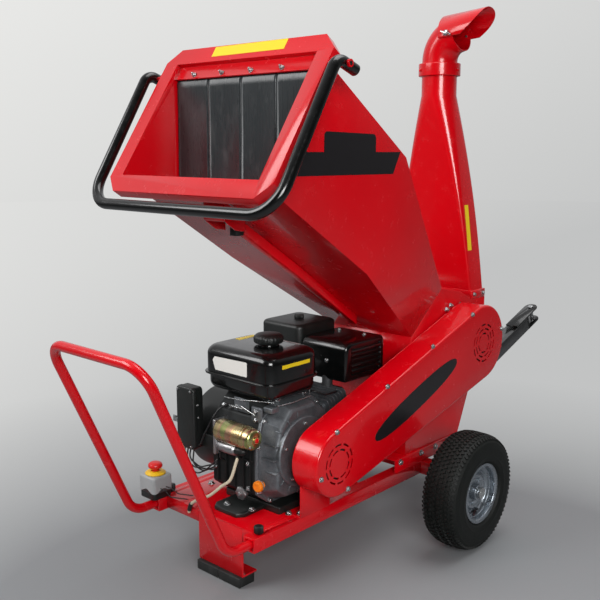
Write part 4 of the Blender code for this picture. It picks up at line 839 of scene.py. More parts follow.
def buildWheel(suffix, side):
    body = "wheel_" + suffix
    low, high = nodeBox("rim_" + suffix)
    centre = (low + high) / 2
    look = tyreLook
    half = [(0.0763, 0.0445), (0.0880, 0.0447), (0.0935, 0.0530), (0.1040, 0.0551), (0.1065, 0.0558),
            (0.1090, 0.0552), (0.1300, 0.0548), (0.1450, 0.0520), (0.1530, 0.0455), (0.1582, 0.0340),
            (look["crown"] + 0.0008, 0.0160)]
    inner = [(0.0763, 0.0330), (0.0960, 0.0455), (0.1380, 0.0455), (0.1500, 0.0300)]
    loop = half + [(r, -h) for r, h in reversed(half)] + [(r, -h) for r, h in inner] \
        + [(r, h) for r, h in reversed(inner)]
    casing = Shape().lathe(softCorners(loop, 0.004, 3), centre, (1, 0, 0), 120, ring=True)
    casing.piece("tyreCasing." + suffix, body, wheelRubber, ("tyre_" + suffix,), sharp=50)
    blocks = grow("tread", bpy.data.meshes.new("tread"), treadTree,
                  {"Centre": centre + fromAxle, "Crown": look["crown"] - 0.0004,
                   "Half Width": look["halfWidth"], "Rows": look["rows"], "Around": look["around"],
                   "Block": Vector(look["block"]), "Lean": math.radians(look["lean"]),
                   "Drop": look["shoulderDrop"], "Tilt": math.radians(look["shoulderTilt"]),
                   "Material": wheelRubber})
    smooth(blocks, 20)
    settle(blocks, "treadBlocks." + suffix, body, wheelRubber)

    # pressed dish with three steps, rolled lips and a welded hub
    face = [(0.0225, 0.0380), (0.0225, 0.0175), (0.0330, 0.0165), (0.0385, 0.0245), (0.0480, 0.0265),
            (0.0530, 0.0205), (0.0600, 0.0190), (0.0640, 0.0250), (0.0735, 0.0275), (0.0735, 0.0440),
            (0.0775, 0.0478), (0.0853, 0.0478), (0.0853, 0.0462), (0.0790, 0.0440), (0.0755, 0.0400)]
    rear = [(0.0755, -0.0400), (0.0790, -0.0440), (0.0853, -0.0462), (0.0853, -0.0478), (0.0775, -0.0478),
            (0.0735, -0.0440), (0.0735, 0.0180), (0.0640, 0.0225), (0.0600, 0.0160), (0.0530, 0.0175),
            (0.0480, 0.0235), (0.0400, 0.0215), (0.0345, 0.0135), (0.0225, 0.0145), (0.0225, -0.0350),
            (0.0105, -0.0350), (0.0105, 0.0380)]
    dish = Shape().lathe(softCorners(face + rear, 0.0022, 3), centre, (side, 0, 0), 96, ring=True)
    hole = Shape().prism([(centre.y + y, centre.z - 0.0645 + z) for y, z in roundedRectangle(0.0135, 0.0062, 0.006)],
                         (centre.x - side * 0.06, centre.x + side * 0.08))
    dish.piece("rimDish." + suffix, body, galvanised, ("rim_" + suffix,), sharp=40,
               cuts=(hole.object("valveOpening"),))
    valve = Shape()
    foot = centre + Vector((side * 0.010, 0.004, -0.066))
    valve.lathe([(0, 0), (0.0046, 0), (0.0042, 0.010), (0.0034, 0.014), (0.0034, 0.026), (0.0028, 0.028), (0, 0.028)],
                foot, (side * 0.75, 0, 0.5), 20)
    valve.piece("valveStem." + suffix, body, wireBlack)
    dress("stub_axle_" + suffix, brightZinc, 0.0006)


# chute, elbow and shield

chuteLook = {"baseY": (0.362, 0.439), "baseZ": 0.636, "skirt": 0.026, "topZ": 1.366, "topY": 0.3665, "radius": 0.0555,
             "sheet": 0.0025, "half": 0.150, "belly": 0.007, "foldRadius": 0.006, "collar": 0.066,
             "collarZ": (1.337, 1.372), "skirtWall": 0.008}
elbowLook = {"start": 0.010, "bend": 0.080, "turn": 75.0, "end": 0.015}
shieldLook = {"radius": 0.0585, "back": 0.045, "front": 0.105, "pitch": 85.0, "arc": 205.0, "sweep": 1.7}


def chuteHalf(t):
    # the sides stay wide low down and draw in higher up
    look = chuteLook
    return look["half"] - 0.005 + t * (look["radius"] - look["half"] + 0.005) + look["belly"] * math.sin(math.pi * t)


def chuteOutline(t, inset, z, steps=9):
    look = chuteLook
    low, high = look["baseY"]
    middle = (low + high) / 2 + t * (look["topY"] - (low + high) / 2)
    halfX = chuteHalf(t) - inset
    halfY = (high - low) / 2
    halfY = halfY + t * (look["radius"] - halfY) - inset
    fold = look["foldRadius"]
    radius = max(fold + t ** 2.2 * (look["radius"] - fold) - inset, 0.003)
    outline = roundedRectangle(halfX, halfY, min(radius, halfX - 1e-5, halfY - 1e-5), steps)
    return [Vector((x, middle + y, z)) for x, y in outline]


def chuteLevel(t):
    look = chuteLook
    low = look["baseZ"] + look["skirt"] / 2
    return low + t * (look["collarZ"][0] - 0.060 - low)


def elbowFrame(angle):
    look = elbowLook
    start = Vector((0, chuteLook["topY"], chuteLook["collarZ"][1] + look["start"]))
    shift = Vector((look["bend"] * (1 - math.cos(angle)), 0, look["bend"] * math.sin(angle)))
    return Matrix.Translation(start + shift) @ Matrix.Rotation(angle, 4, "Y")


def buildChute():
    look = chuteLook
    stages = [(k / 22, chuteLevel(k / 22)) for k in range(23)] + [(1, look["topZ"])]
    outer = [chuteOutline(t, 0, z) for t, z in stages]
    inner = [chuteOutline(t, look["sheet"], z) for t, z in stages]
    chute = Shape().skin(outer + inner[::-1], closed=True)
    chute.piece("chuteFunnel", "frame", redPaint, ("discharge_chute",), sharp=42)
    skirt = Shape()
    low, high = look["baseY"][0] - 0.003, look["baseY"][1] + 0.003
    ring = [(-look["half"], low), (look["half"], low), (look["half"], high), (-look["half"], high)]
    half = look["half"] - look["skirtWall"]
    inside = [(-half, low + 0.006), (half, low + 0.006), (half, high - 0.006), (-half, high - 0.006)]
    z0, z1 = look["baseZ"], look["baseZ"] + look["skirt"]
    skirt.skin([[Vector((x, y, z)) for x, y in loop] for loop, z in
                ((ring, z0), (ring, z1), (inside, z1 - 0.0005), (inside, z0))], closed=True)
    skirt.piece("chuteSkirt", "frame", redPaint, rounding=0.0016, segments=3)
    bolts = [((side * 0.1502, 0.4005 + y, 0.649), (side, 0, 0)) for side in (-1, 1) for y in (-0.026, 0.026)]
    fasteners("chuteBolts", "frame", bolts, across=0.010, height=0.004, washer=0.013)


def buildElbow():
    look = elbowLook
    steps = 16
    turn = math.radians(look["turn"])
    frames = [elbowFrame(turn * k / steps) for k in range(steps + 1)]
    frames.append(frames[-1] @ Matrix.Translation((0, 0, look["end"])))
    frames.insert(0, frames[0] @ Matrix.Translation((0, 0, -look["start"])))
    radius = chuteLook["radius"]
    circle = arc((0, 0), 1.0, 0, 355, 71)

    def rings(wide):
        return [[at @ Vector((wide * x, wide * y, 0)) for x, y in circle] for at in frames]
    elbow = Shape().skin(rings(radius) + rings(radius - chuteLook["sheet"])[::-1], closed=True)
    low, high = chuteLook["collarZ"]
    collar = chuteLook["collar"]
    profile = [(radius + 0.001, low), (collar - 0.001, low), (collar, low + 0.002), (collar, high + 0.002),
               (collar - 0.0015, high + 0.004), (radius - 0.002, high + 0.004), (radius - 0.002, high - 0.004),
               (radius + 0.001, high - 0.004)]
    elbow.lathe(softCorners(profile, 0.0012, 3), (0, chuteLook["topY"], 0), (0, 0, 1), 72, ring=True)
    elbow.piece("chuteBend", "elbow", redPaint, ("chute_elbow",), sharp=42)
    middle = (low + high) / 2
    around = [((math.cos(a) * collar, chuteLook["topY"] + math.sin(a) * collar, middle),
               (math.cos(a), math.sin(a), 0)) for a in (math.radians(d) for d in (-120, 0, 120))]
    fasteners("collarScrews", "elbow", around, across=0.008, height=0.003, washer=0.0095, material=redPaint)
    hinge = elbowFrame(turn) @ Vector((0, 0, look["end"] - 0.012))
    reach = shieldLook["radius"] + chuteLook["sheet"]
    studs = Shape()
    for side in (-1, 1):
        studs.lathe([(0, -0.008), (0.0038, -0.008), (0.0038, 0.006), (0, 0.0065)],
                    hinge + Vector((0, side * (radius + 0.003), 0)), (0, side, 0), 20)
    studs.piece("hingeStuds", "elbow", brightZinc, rounding=0.0003)
    fasteners("shieldNut", "deflector", [(hinge + Vector((0, reach, 0)), (0, 1, 0))], across=0.012, height=0.0045,
              washer=0.017, stud=0.003)
    dress("wing_nut", brightZinc, 0.0008)


def buildShield():
    look = shieldLook
    outside = look["radius"] + chuteLook["sheet"]
    mouth = elbowFrame(math.radians(elbowLook["turn"])) @ Vector((0, 0, elbowLook["end"]))
    frame = Matrix.Translation(mouth) @ Matrix.Rotation(math.radians(look["pitch"]), 4, "Y")
    spread = look["arc"] / 2
    ring = arc((0, 0), outside, 180 - spread, 180 + spread, 48)
    ring += arc((0, 0), look["radius"], 180 + spread, 180 - spread, 48)
    # the free end is cut in a curve from the crown down to the sides
    reach = outside * (1 + math.cos(math.radians(180 - spread)))
    near = [frame @ Vector((x, y, -look["back"])) for x, y in ring]
    far = [frame @ Vector((x, y, look["front"] - reach * (max(x + outside, 0.0) / reach) ** look["sweep"]))
           for x, y in ring]
    shield = Shape().skin([near, far])
    shield.piece("shieldSheet", "deflector", redPaint, ("deflector",), rounding=0.0008, sharp=40)


# tubes

handleLook = {"diameter": 0.0254, "top": (-0.933, 0.655), "bendY": -0.705, "insert": -0.520, "right": 0.136,
              "left": -0.236, "railZ": 0.146}
barLook = {"diameter": 0.028, "half": 0.330, "drop": 0.080, "pivot": (0.311, -0.012)}
mouthLook = {"at": (-0.694, 1.045), "tilt": 33.7, "width": 0.4954, "height": 0.3458, "border": 0.044}
mouthFrame = Matrix.Translation((0, *mouthLook["at"])) \
    @ Matrix.Rotation(math.pi / 2 - math.radians(mouthLook["tilt"]), 4, "X")


def knurledKnob(shape, at, low, high, radius):
    stages = ((0.0022, low), (0, low + 0.003), (0, high - 0.003), (0.0014, high - 0.0008), (0.004, high))
    shape.skin([wavyRing(at, radius - inset, z, 20, 120, 0.0008) for inset, z in stages])


def buildTubes():
    look = handleLook
    topY, topZ = look["top"]
    leg = [(look["insert"], look["railZ"]), (look["bendY"], look["railZ"]), (topY, topZ)]
    corners = [(look["right"], y, z) for y, z in leg] + [(look["left"], y, z) for y, z in reversed(leg)]
    path = softCorners(corners, (0, 0.060, 0.065, 0.065, 0.060, 0), 14, closed=False)
    Shape().tube(path, look["diameter"] / 2, 32).piece("pushHandle", "handle", redPaint, ("handle",), sharp=50)
    for side in ("right", "left"):
        low, high = nodeBox("handle_knob_" + side)
        middle = (low + high) / 2
        cap = high.z - 0.020
        knob = Shape()
        knob.lathe([(0, low.z), (0.004, low.z), (0.004, cap + 0.002), (0, cap + 0.002)], (middle.x, middle.y, 0),
                   (0, 0, 1), 20)
        knurledKnob(knob, middle, cap, high.z, 0.0117)
        knob.piece("clampKnob." + side, "knob_" + side, blackPlastic, ("handle_knob_" + side,), sharp=45)

    look = barLook
    v, w = look["pivot"]
    half = look["half"]
    side = [(half, v + 0.012, w - 0.040), (half, v - 0.004, 0.014), (half, -look["drop"], -0.004)]
    points = [mouthFrame @ Vector(p) for p in side + [(-x, b, c) for x, b, c in reversed(side)]]
    path = softCorners(points, (0, 0.030, 0.075, 0.075, 0.030, 0), 14, closed=False)
    bar = Shape().tube(path, look["diameter"] / 2, 32)
    bar.piece("safetyBarTube", "safety_bar", blackPaint, ("safety_bar",), rounding=0.0012, sharp=50, angle=60)
    pivots = [(mouthFrame @ Vector((side * (half + look["diameter"] / 2), v, w)), (side, 0, 0)) for side in (-1, 1)]
    fasteners("barPivotBolts", "frame", pivots, across=0.0135, height=0.0042, washer=0.017, material=darkCast)
    print("tubes built")


# belt cover

coverLook = {"inner": 0.1586, "outer": 0.240, "sheet": 0.002, "edge": 0.0065, "lowR": 0.088, "highR": 0.118,
             "crank": (-0.406, 0.320), "rotor": (0.293, 0.517)}


def buildCover():
    look = coverLook

    def pan(inset, start, end):
        radius = look["edge"] - inset
        stages = [(start, 0.0)] + [(end - radius + rise, draw) for draw, rise in quarter(radius, 5)]
        return [[Vector((x, y, z)) for y, z in beltOutline(look["crank"], look["lowR"] - inset - draw, look["rotor"],
                                                           look["highR"] - inset - draw)] for x, draw in stages]
    pocket = Shape().skin(pan(look["sheet"], look["inner"] - 0.01, look["outer"] - look["sheet"]))
    vents = Shape()
    for at, rings in ((look["crank"], ((0.0375, 8), (0.0515, 10))),
                      (look["rotor"], ((0.0300, 6), (0.0440, 8), (0.0580, 10)))):
        for radius, count in rings:
            pitch = 360 / count
            for k in range(count):
                start, end = pitch * k + count, pitch * (k + 0.74) + count
                vents.prism(arc(at, radius + 0.0024, start, end, 8) + arc(at, radius - 0.0024, end, start, 8),
                            (look["outer"] - 0.02, look["outer"] + 0.01))
    Shape().skin(pan(0.0, look["inner"], look["outer"])).piece(
        "coverPan", "frame", redPaint, ("belt_cover",), sharp=42,
        cuts=(pocket.object("panPocket"), vents.object("panVents")))
    spots = [(-0.4175, 0.4080), (-0.2074, 0.4830), (0.0059, 0.5560), (0.217, 0.6180), (0.3960, 0.5470),
             (-0.478, 0.3000), (-0.3718, 0.2430)]
    fasteners("coverBolts", "frame", [((look["outer"], y, z), (1, 0, 0)) for y, z in spots], across=0.0105,
              height=0.0042, washer=0.0150)
    feet = [((look["inner"] - 0.0175, y, 0.1695), (0, 0, 1)) for y in (-0.448, -0.372)]
    fasteners("guardFootBolts", "frame", feet, across=0.012, height=0.005, washer=0.018)
    print("belt cover built")


# hopper

curtainLook = {"strips": 4, "sheet": 0.0038, "bulge": 0.0080, "belly": 0.003, "swing": 0.0018, "tuck": 0.016,
               "slitFrom": 0.16, "gap": 0.0032, "across": 14, "down": 26}


def curtainStrip(k, left, right, low, high, back):
    # cross sections of one strip from its top down: bowed across, bellied down, held flat under the lip
    look = curtainLook
    swing = math.sin(k * 2.1 + 0.7) * look["swing"]
    loops = []
    for j in range(look["down"] + 1):
        t = j / look["down"]
        gap = max(0.0, t - look["slitFrom"]) * look["gap"]
        x0 = left + (gap if k else 0)
        x1 = right - (gap if k < look["strips"] - 1 else 0)
        z = high - t * (high - low)
        line = []
        for i in range(look["across"] + 1):
            s = i / look["across"]
            bow = 0.45 - (2 * s - 1) ** 2
            y = back + look["bulge"] * bow * min(1.0, t * 1.6) + swing * t + look["belly"] * math.sin(math.pi * t)
            line.append((x0 + (x1 - x0) * s, y + max(0.0, 0.075 - t) / 0.075 * look["tuck"]))
        ring = line + [(x, y + look["sheet"]) for x, y in reversed(line)]
        loops.append([Vector((x, y, z)) for x, y in ring])
    return loops


def buildCurtain():
    low, high = nodeBox("hopper_curtain")
    wide = (high.x - low.x) / curtainLook["strips"]
    shape = Shape()
    for k in range(curtainLook["strips"]):
        shape.skin(curtainStrip(k, low.x + k * wide, low.x + (k + 1) * wide, low.z, high.z - 0.006, low.y + 0.0002))
    shape.piece("feedCurtain", "frame", curtainRubber, ("hopper_curtain",), rounding=0.0006, segments=1, sharp=60,
                angle=70)


def sticker(name, finish, outline, level, under, over, plane="YZ", radius=0.0, frame=None):
    # a blank label: its outline in its plane, and how far it goes under and over the surface at that level
    shape = Shape().prism(softCorners(outline, radius, 4), (level - under, level + over), plane, frame)
    shape.piece(name, "frame", finish, sharp=30)


def buildHopper():
    dress("hopper", redPaint, 0.0011, sharp=30)
    buildCurtain()
    along = mouthFrame.to_3x3() @ Vector((0, 0, 1))
    lip = [(mouthFrame @ Vector((x, 0.3135, -0.0128)), along) for x in (-0.1700, -0.0660, 0.0378, 0.1413)]
    fasteners("lipBolts", "frame", lip, across=0.0095, height=0.0050, washer=0.0135, stud=0.004)


def buildStickers():
    height, border, side = mouthLook["height"], mouthLook["border"], mouthLook["width"] / 2
    sticker("rimStripBlank", yellowVinyl,
            [(-0.1190, height + border * 0.26), (0.1330, height + border * 0.30), (0.1330, height + border * 0.98),
             (-0.1190, height + border * 0.94)], 0.0, 0.0002, 0.0006, "XY", 0.001, mouthFrame)
    sticker("sideBandBlank", blackVinyl, [(-0.573, 1.106), (-0.181, 1.104), (-0.211, 1.049), (-0.604, 1.052)], side,
            0.0001, 0.0007, radius=0.0005)
    sticker("sidePlaqueBlank", blackVinyl, [(-0.481, 1.153), (-0.285, 1.148), (-0.285, 1.092), (-0.481, 1.094)], side,
            0.0001, 0.0009, radius=0.010)
    # the chute's label lies on its slanting right-hand face
    corners = []
    for z, y in ((0.790, 0.362), (0.790, 0.384), (0.934, 0.382), (0.934, 0.361)):
        t = (z - chuteLevel(0)) / (chuteLevel(1) - chuteLevel(0))
        corners.append(Vector((chuteHalf(t), y, z)))
    label = Shape().skin([[corner + Vector((lift, 0, 0)) for corner in corners] for lift in (-0.0006, 0.0005)])
    label.piece("chuteLabelBlank", "frame", yellowVinyl)
    # the belt cover's label is a full oval that slopes with the belt
    start, end, deep = Vector((-0.2568, 0.3479)), Vector((0.1377, 0.4895)), 0.032
    along, middle = (end - start) / 2, (start + end) / 2
    across = Vector((-along.y, along.x)).normalized() * deep
    oval = []
    for k in range(72):
        cosine, sine = math.cos(math.tau * k / 72), math.sin(math.tau * k / 72)
        oval.append(middle + along * math.copysign(abs(cosine) ** 0.9, cosine)
                    + across * math.copysign(abs(sine) ** 0.8, sine))
    sticker("coverOvalBlank", blackVinyl, oval, coverLook["outer"], 0.0001, 0.0007)


boltLook = {"trayZ": 0.165, "footZ": 0.1775, "standRight": 0.1552, "standLeft": -0.2552, "standZ": 0.1935,
            "throatX": 0.1502}


def buildFrameBolts():
    look = boltLook
    tray = [(0.1144, -0.4621, look["trayZ"]), (0.045, -0.530, look["footZ"]), (-0.030, -0.548, look["footZ"]),
            (-0.190, -0.4621, look["trayZ"])]
    fasteners("trayBolts", "frame", [(place, (0, 0, 1)) for place in tray], across=0.013, height=0.0055, washer=0.020)
    stand = [((look["standRight"], y, look["standZ"]), (1, 0, 0)) for y in (0.087, 0.164, -0.020, 0.262)]
    stand += [((look["standLeft"], y, look["standZ"]), (-1, 0, 0)) for y in (-0.020, 0.087, 0.164, 0.262)]
    fasteners("standBolts", "frame", stand, across=0.013, height=0.0055, washer=0.019, seed=8)
    throat = [((side * look["throatX"], y, z), (side, 0, 0)) for side in (1, -1)
              for y, z in ((0.2337, 0.6330), (0.2918, 0.6281), (0.2116, 0.6235))]
    fasteners("throatBolts", "frame", throat, across=0.011, height=0.005, washer=0.015, stud=0.004, seed=5)


# stop button

stopLook = {"corner": 0.009, "scallop": 0.0105, "edge": 0.007, "wire": 0.0014}


def buildStopButton():
    look = stopLook
    low, high = nodeBox("estop_cover")
    middle, half = (low + high) / 2, (high.x - low.x) / 2
    corners = softCorners(rectangle((-half, half), (-half, half)), look["corner"], 10)
    outline = []
    for here, ahead in zip(corners, corners[1:] + corners[:1]):
        steps = max(1, round((ahead - here).length / 0.003))
        outline += [here.lerp(ahead, k / steps) for k in range(steps)]

    def loop(points, inset, z, wave=0.0):
        # the lower edge of the cover rises and falls in four waves
        share = 1 - inset / half
        return [Vector((middle.x + x * share, middle.y + y * share,
                        z + wave * (0.5 + 0.5 * math.cos(4 * math.atan2(y, x))))) for x, y in points]
    stages = [(0.0, low.z, look["scallop"]), (0.0, low.z + 0.0125)]
    stages += [(draw, high.z - look["edge"] + rise) for draw, rise in quarter(look["edge"])]
    cover = Shape().skin([loop(outline, *stage) for stage in stages])
    cover.piece("stopCover", "frame", greyPlastic, ("estop_cover",), sharp=50)
    foot = nodeBox("estop_base")[0].z
    stages = [(0.0015, foot), (0.0, foot + 0.002), (0.0, low.z + 0.0115), (0.001, low.z + 0.0122)]
    square = roundedRectangle(half - 0.0015, half - 0.0015, look["corner"], 8)
    base = Shape().skin([loop(square, *stage) for stage in stages])
    base.piece("stopBase", "frame", blackPlastic, ("estop_base",), sharp=50)

    upright = (middle.x, middle.y, 0), (0, 0, 1), 56
    low, high = nodeBox("estop_collar")
    profile = [(0.0115, low.z), (0.0285, low.z), (0.0285, low.z + 0.003), (0.0200, high.z), (0.0115, high.z)]
    collar = Shape().lathe(softCorners(profile, 0.0012, 3), *upright, ring=True)
    collar.piece("stopCollar", "frame", yellowPlastic, ("estop_collar",))
    low, high = nodeBox("estop_button")
    top = high.z
    dome = [(0, low.z), (0.0102, low.z), (0.0102, top - 0.0185), (0.0170, top - 0.0165), (0.0196, top - 0.0130),
            (0.0198, top - 0.0085), (0.0180, top - 0.0045), (0.0145, top - 0.0020), (0.0090, top - 0.0004), (0, top)]
    mushroom = Shape().lathe(softCorners(dome, 0.0020, 3, closed=False), *upright)
    mushroom.piece("stopMushroom", "stop_button", redPlastic, ("estop_button",), sharp=50)
    wires = Shape()
    x = middle.x + half
    for side in (-0.010, 0.010):
        y, spread = middle.y + side, middle.y + side * 1.5
        path = [(x - 0.001, y, 0.196), (x + 0.020, y, 0.197), (x + 0.034, spread + 0.010, 0.180),
                (x + 0.060, spread + 0.050, 0.1685)]
        wires.tube(softCorners(path, 0.012, 6, closed=False), look["wire"], 10)
    wires.piece("stopWires", "frame", wireBlack, sharp=60)
    print("stop button built")


# engine

engineLook = {"crank": (-0.406, 0.320), "caseX": (-0.110, 0.112), "caseY": (-0.525, -0.290), "foot": 0.1853,
              "headTilt": 14.0, "tankX": (-0.155, 0.102), "tankY": (-0.517, -0.322), "seam": 0.518, "tankTop": 0.594,
              "cap": (-0.012, -0.405), "guardX": (-0.070, 0.100), "guardY": (-0.212, -0.034),
              "guardZ": (0.464, 0.578), "airX": (-0.236, -0.076), "airY": (-0.212, -0.040), "airZ": (0.500, 0.604),
              "bellX": -0.215, "bellR": 0.118, "bellFloor": 0.186}
headFrame = Matrix.Translation((0, engineLook["caseY"][1] + 0.015, engineLook["crank"][1] + 0.052)) \
    @ Matrix.Rotation(math.radians(engineLook["headTilt"]), 4, "X")


def buildCrankcase():
    look = engineLook
    y, z = look["crank"]
    low = look["foot"] + 0.0003
    front, back = look["caseY"]
    deck = [(headFrame @ Vector((0, 0, v))).yz for v in (-0.068, 0.062)]
    side = [(front + 0.045, low), (back - 0.010, low), (back, z - 0.03), *deck,
            (y + 0.060, z + 0.150), (y - 0.050, z + 0.150), (front + 0.020, z + 0.100), (front, z + 0.030),
            (front, low + 0.034)]
    outline = softCorners(side, 0.012, 4)
    case = Shape().prism(outline, (look["caseX"][0], 0.052))
    case.piece("crankcaseBody", "frame", darkCast, ("crankcase",), rounding=0.004, segments=3)
    # the side cover is a shallow dish with a flange and ribs that fan out from the shaft
    middle = sum(outline, Vector((0, 0))) / len(outline)

    def shrunk(share):
        return [middle.lerp(point, share) for point in outline]
    cover = Shape().skin([[Vector((x, *point)) for point in shrunk(share)]
                          for x, share in ((0.0525, 1.0), (0.0600, 1.0), (0.0615, 0.985), (0.0615, 0.93),
                                           (0.072, 0.90), (0.100, 0.84), (0.108, 0.81), (0.112, 0.76))])
    cover.lathe([(0, 0.10), (0.096, 0.10), (0.096, 0.117), (0.093, 0.121), (0.070, 0.122), (0.066, 0.119),
                 (0.040, 0.119), (0.034, 0.124), (0.030, 0.138), (0.026, 0.1398), (0.0140, 0.1398),
                 (0.0140, 0.134), (0, 0.134)],
                (0, y, z + 0.004), (1, 0, 0), 64)
    cover.piece("crankcaseCover", "frame", greyCast, rounding=0.0014, sharp=36)
    ribs = Shape()
    shaft = Vector((y, z + 0.004))
    for k in range(9):
        angle = math.radians(100 + k * 20)
        a, b = Vector((math.cos(angle), math.sin(angle))), Vector((-math.sin(angle), math.cos(angle)))
        section = ((0.070, -0.0022), (0.115, -0.0014), (0.115, 0.0014), (0.070, 0.0022))
        ribs.skin([[Vector((x, *(shaft + a * reach + b * w))) for x, w in section] for reach in (0.088, 0.112)])
    ribs.piece("crankcaseRibs", "frame", greyCast, rounding=0.0006)
    rim = shrunk(0.955)
    spots = [rim[i] for i in range(0, len(rim), max(1, len(rim) // 9))]
    fasteners("caseBolts", "frame", [((0.0615, a, b), (1, 0, 0)) for a, b in spots], across=0.010, height=0.005,
              washer=0.0135)
    turns = [math.radians(turn) for turn in (20, 90, 160, 230, 310)]
    seal = [((0.1215, shaft.x + 0.079 * math.cos(a), shaft.y + 0.079 * math.sin(a)), (1, 0, 0)) for a in turns]
    fasteners("sealBolts", "frame", seal, across=0.0085, height=0.004, washer=0.011, seed=11)
    # front face: webs under the starter, a drain plug and the filler neck
    webs = Shape()
    for x in (-0.085, -0.052, -0.020, 0.014, 0.040):
        webs.box((x - 0.002, x + 0.002), (front - 0.006, front + 0.01), (low + 0.040, z + 0.022))
    webs.box((-0.095, 0.048), (front - 0.0045, front + 0.01), (z - 0.012, z - 0.008))
    webs.piece("caseWebs", "frame", darkCast, rounding=0.0012)
    neck = Shape()
    neck.lathe([(0.0095, 0.002), (0.0155, 0.002), (0.0150, -0.0004), (0.0095, -0.0004)], (0.070, front, 0.250),
               (0, 1, 0), 32, ring=True)
    neck.lathe([(0, -0.004), (0.019, -0.004), (0.019, 0.008), (0, 0.008)], (0.005, front, 0.213), (0, -1, 0), 6)
    neck.lathe([(0, -0.004), (0.007, -0.004), (0.007, 0.013), (0.006, 0.014), (0, 0.014)], (0.005, front, 0.213),
               (0, -1, 0), 6)
    neck.piece("drainPlug", "frame", bareSteel, rounding=0.0005)
    mount = Shape()
    mount.block((-0.105, 0.102), (front + 0.040, back + 0.015), (0.1653, 0.1850), 0.006, 0.003)
    mount.prism([(x, b) for x, b in ((-0.050, -0.575), (0.030, -0.575), (0.045, -0.555), (0.045, -0.470),
                                     (-0.065, -0.470), (-0.065, -0.555))], (0.1653, 0.1773), "XY")
    mount.piece("engineFoot", "frame", blackPlastic, ("engine_mount",), rounding=0.0015)


def buildCylinder():
    stages = [(0.0003, 0.0)]
    for k in range(7):
        start = 0.0100 + k * 0.0125
        stages += [(start, 0.0), (start + 0.0008, 0.0125), (start + 0.0030, 0.0125), (start + 0.0038, 0.0)]
    stages.append((0.1015, 0.0))

    def section(level, halfX, halfY, corner, centre, steps):
        return [headFrame @ Vector((0.005 + x, level, centre + v))
                for x, v in roundedRectangle(halfX, halfY, corner, steps)]
    barrel = Shape().skin([section(level, 0.0735 + fin, 0.0488 + fin * 0.8, 0.012, -0.004, 5)
                           for level, fin in stages])
    barrel.piece("cylinderFins", "frame", greyCast, ("cylinder",), sharp=40)
    stages = [(0.0985, 0.0), (0.104, 0.0), (0.1045, 0.004), (0.1250, 0.007), (0.1300, 0.010), (0.1318, 0.016)]
    cap = Shape().skin([section(level, 0.055 - inset, 0.045 - inset, 0.014, -0.005, 6) for level, inset in stages])
    cap.piece("rockerCover", "frame", blackPaint, sharp=36)
    normal = headFrame.to_3x3() @ Vector((0, 1, 0))
    bolts = [(headFrame @ Vector((0.005 + x, 0.1042, -0.005 + v)), normal) for x in (-0.049, 0.049)
             for v in (-0.039, 0.039)]
    fasteners("rockerBolts", "frame", bolts, across=0.0075, height=0.005, washer=0.0105)


def buildTank():
    look = engineLook
    tank = Shape()
    xs, ys, seam, top = look["tankX"], look["tankY"], look["seam"], look["tankTop"]
    tank.block(xs, ys, (seam - 0.001, top), 0.036, 0.026, steps=8)
    lip = 0.0068
    tank.block((xs[0] - lip, xs[1] + lip), (ys[0] - lip, ys[1] + lip), (seam - 0.0028, seam + 0.0028), 0.041, 0.0012,
               0.0012, 4)
    tank.block((xs[0] + 0.004, xs[1] - 0.004), (ys[0] + 0.008, ys[1] - 0.006), (0.4704, seam), 0.030, 0, 0.022, 7)
    x, y = look["cap"]
    tank.lathe([(0, top - 0.012), (0.034, top - 0.012), (0.0285, top + 0.001), (0.0285, top + 0.0058),
                (0, top + 0.0058)], (x, y, 0), (0, 0, 1), 56)
    tank.piece("fuelTankShell", "frame", blackPaint, ("fuel_tank",), sharp=40)
    base = top + 0.0063
    stages = ((0.0375, 0, 0), (0.0400, 0.003, 0.0004), (0.0400, 0.014, 0.0008), (0.0385, 0.0175, 0.0004),
              (0.0330, 0.0225, 0), (0.0250, 0.0245, 0), (0.0100, 0.0255, 0))
    cap = Shape().skin([wavyRing((x, y), radius, base + rise, 24, 144, wave) for radius, rise, wave in stages])
    cap.piece("fuelCapRibbed", "fuel_cap", blackPlastic, ("fuel_cap",), sharp=42)
    # blank labels in the places of the tank's stickers
    sticker("tankLabelBlank", whiteVinyl, [(-0.102, 0.530), (-0.112, 0.556), (-0.104, 0.566), (0.019, 0.569),
                                           (0.019, 0.530)], ys[0], 0.0006, 0.0006, "XZ", 0.003)
    sticker("tankSideBlank", yellowVinyl, rectangle((-0.472, -0.366), (0.5565, 0.5665)), xs[1], 0.0006, 0.0006,
            radius=0.0008)
    sticker("tankTopBlank", yellowVinyl, rectangle((-0.126, -0.108), (-0.420, -0.352)), top, 0.0003, 0.0006, "XY",
            0.001)
    sticker("tankTopBlank.001", greyVinyl, rectangle((-0.030, 0.050), (-0.352, -0.344)), top, 0.0003, 0.0006, "XY",
            0.001)


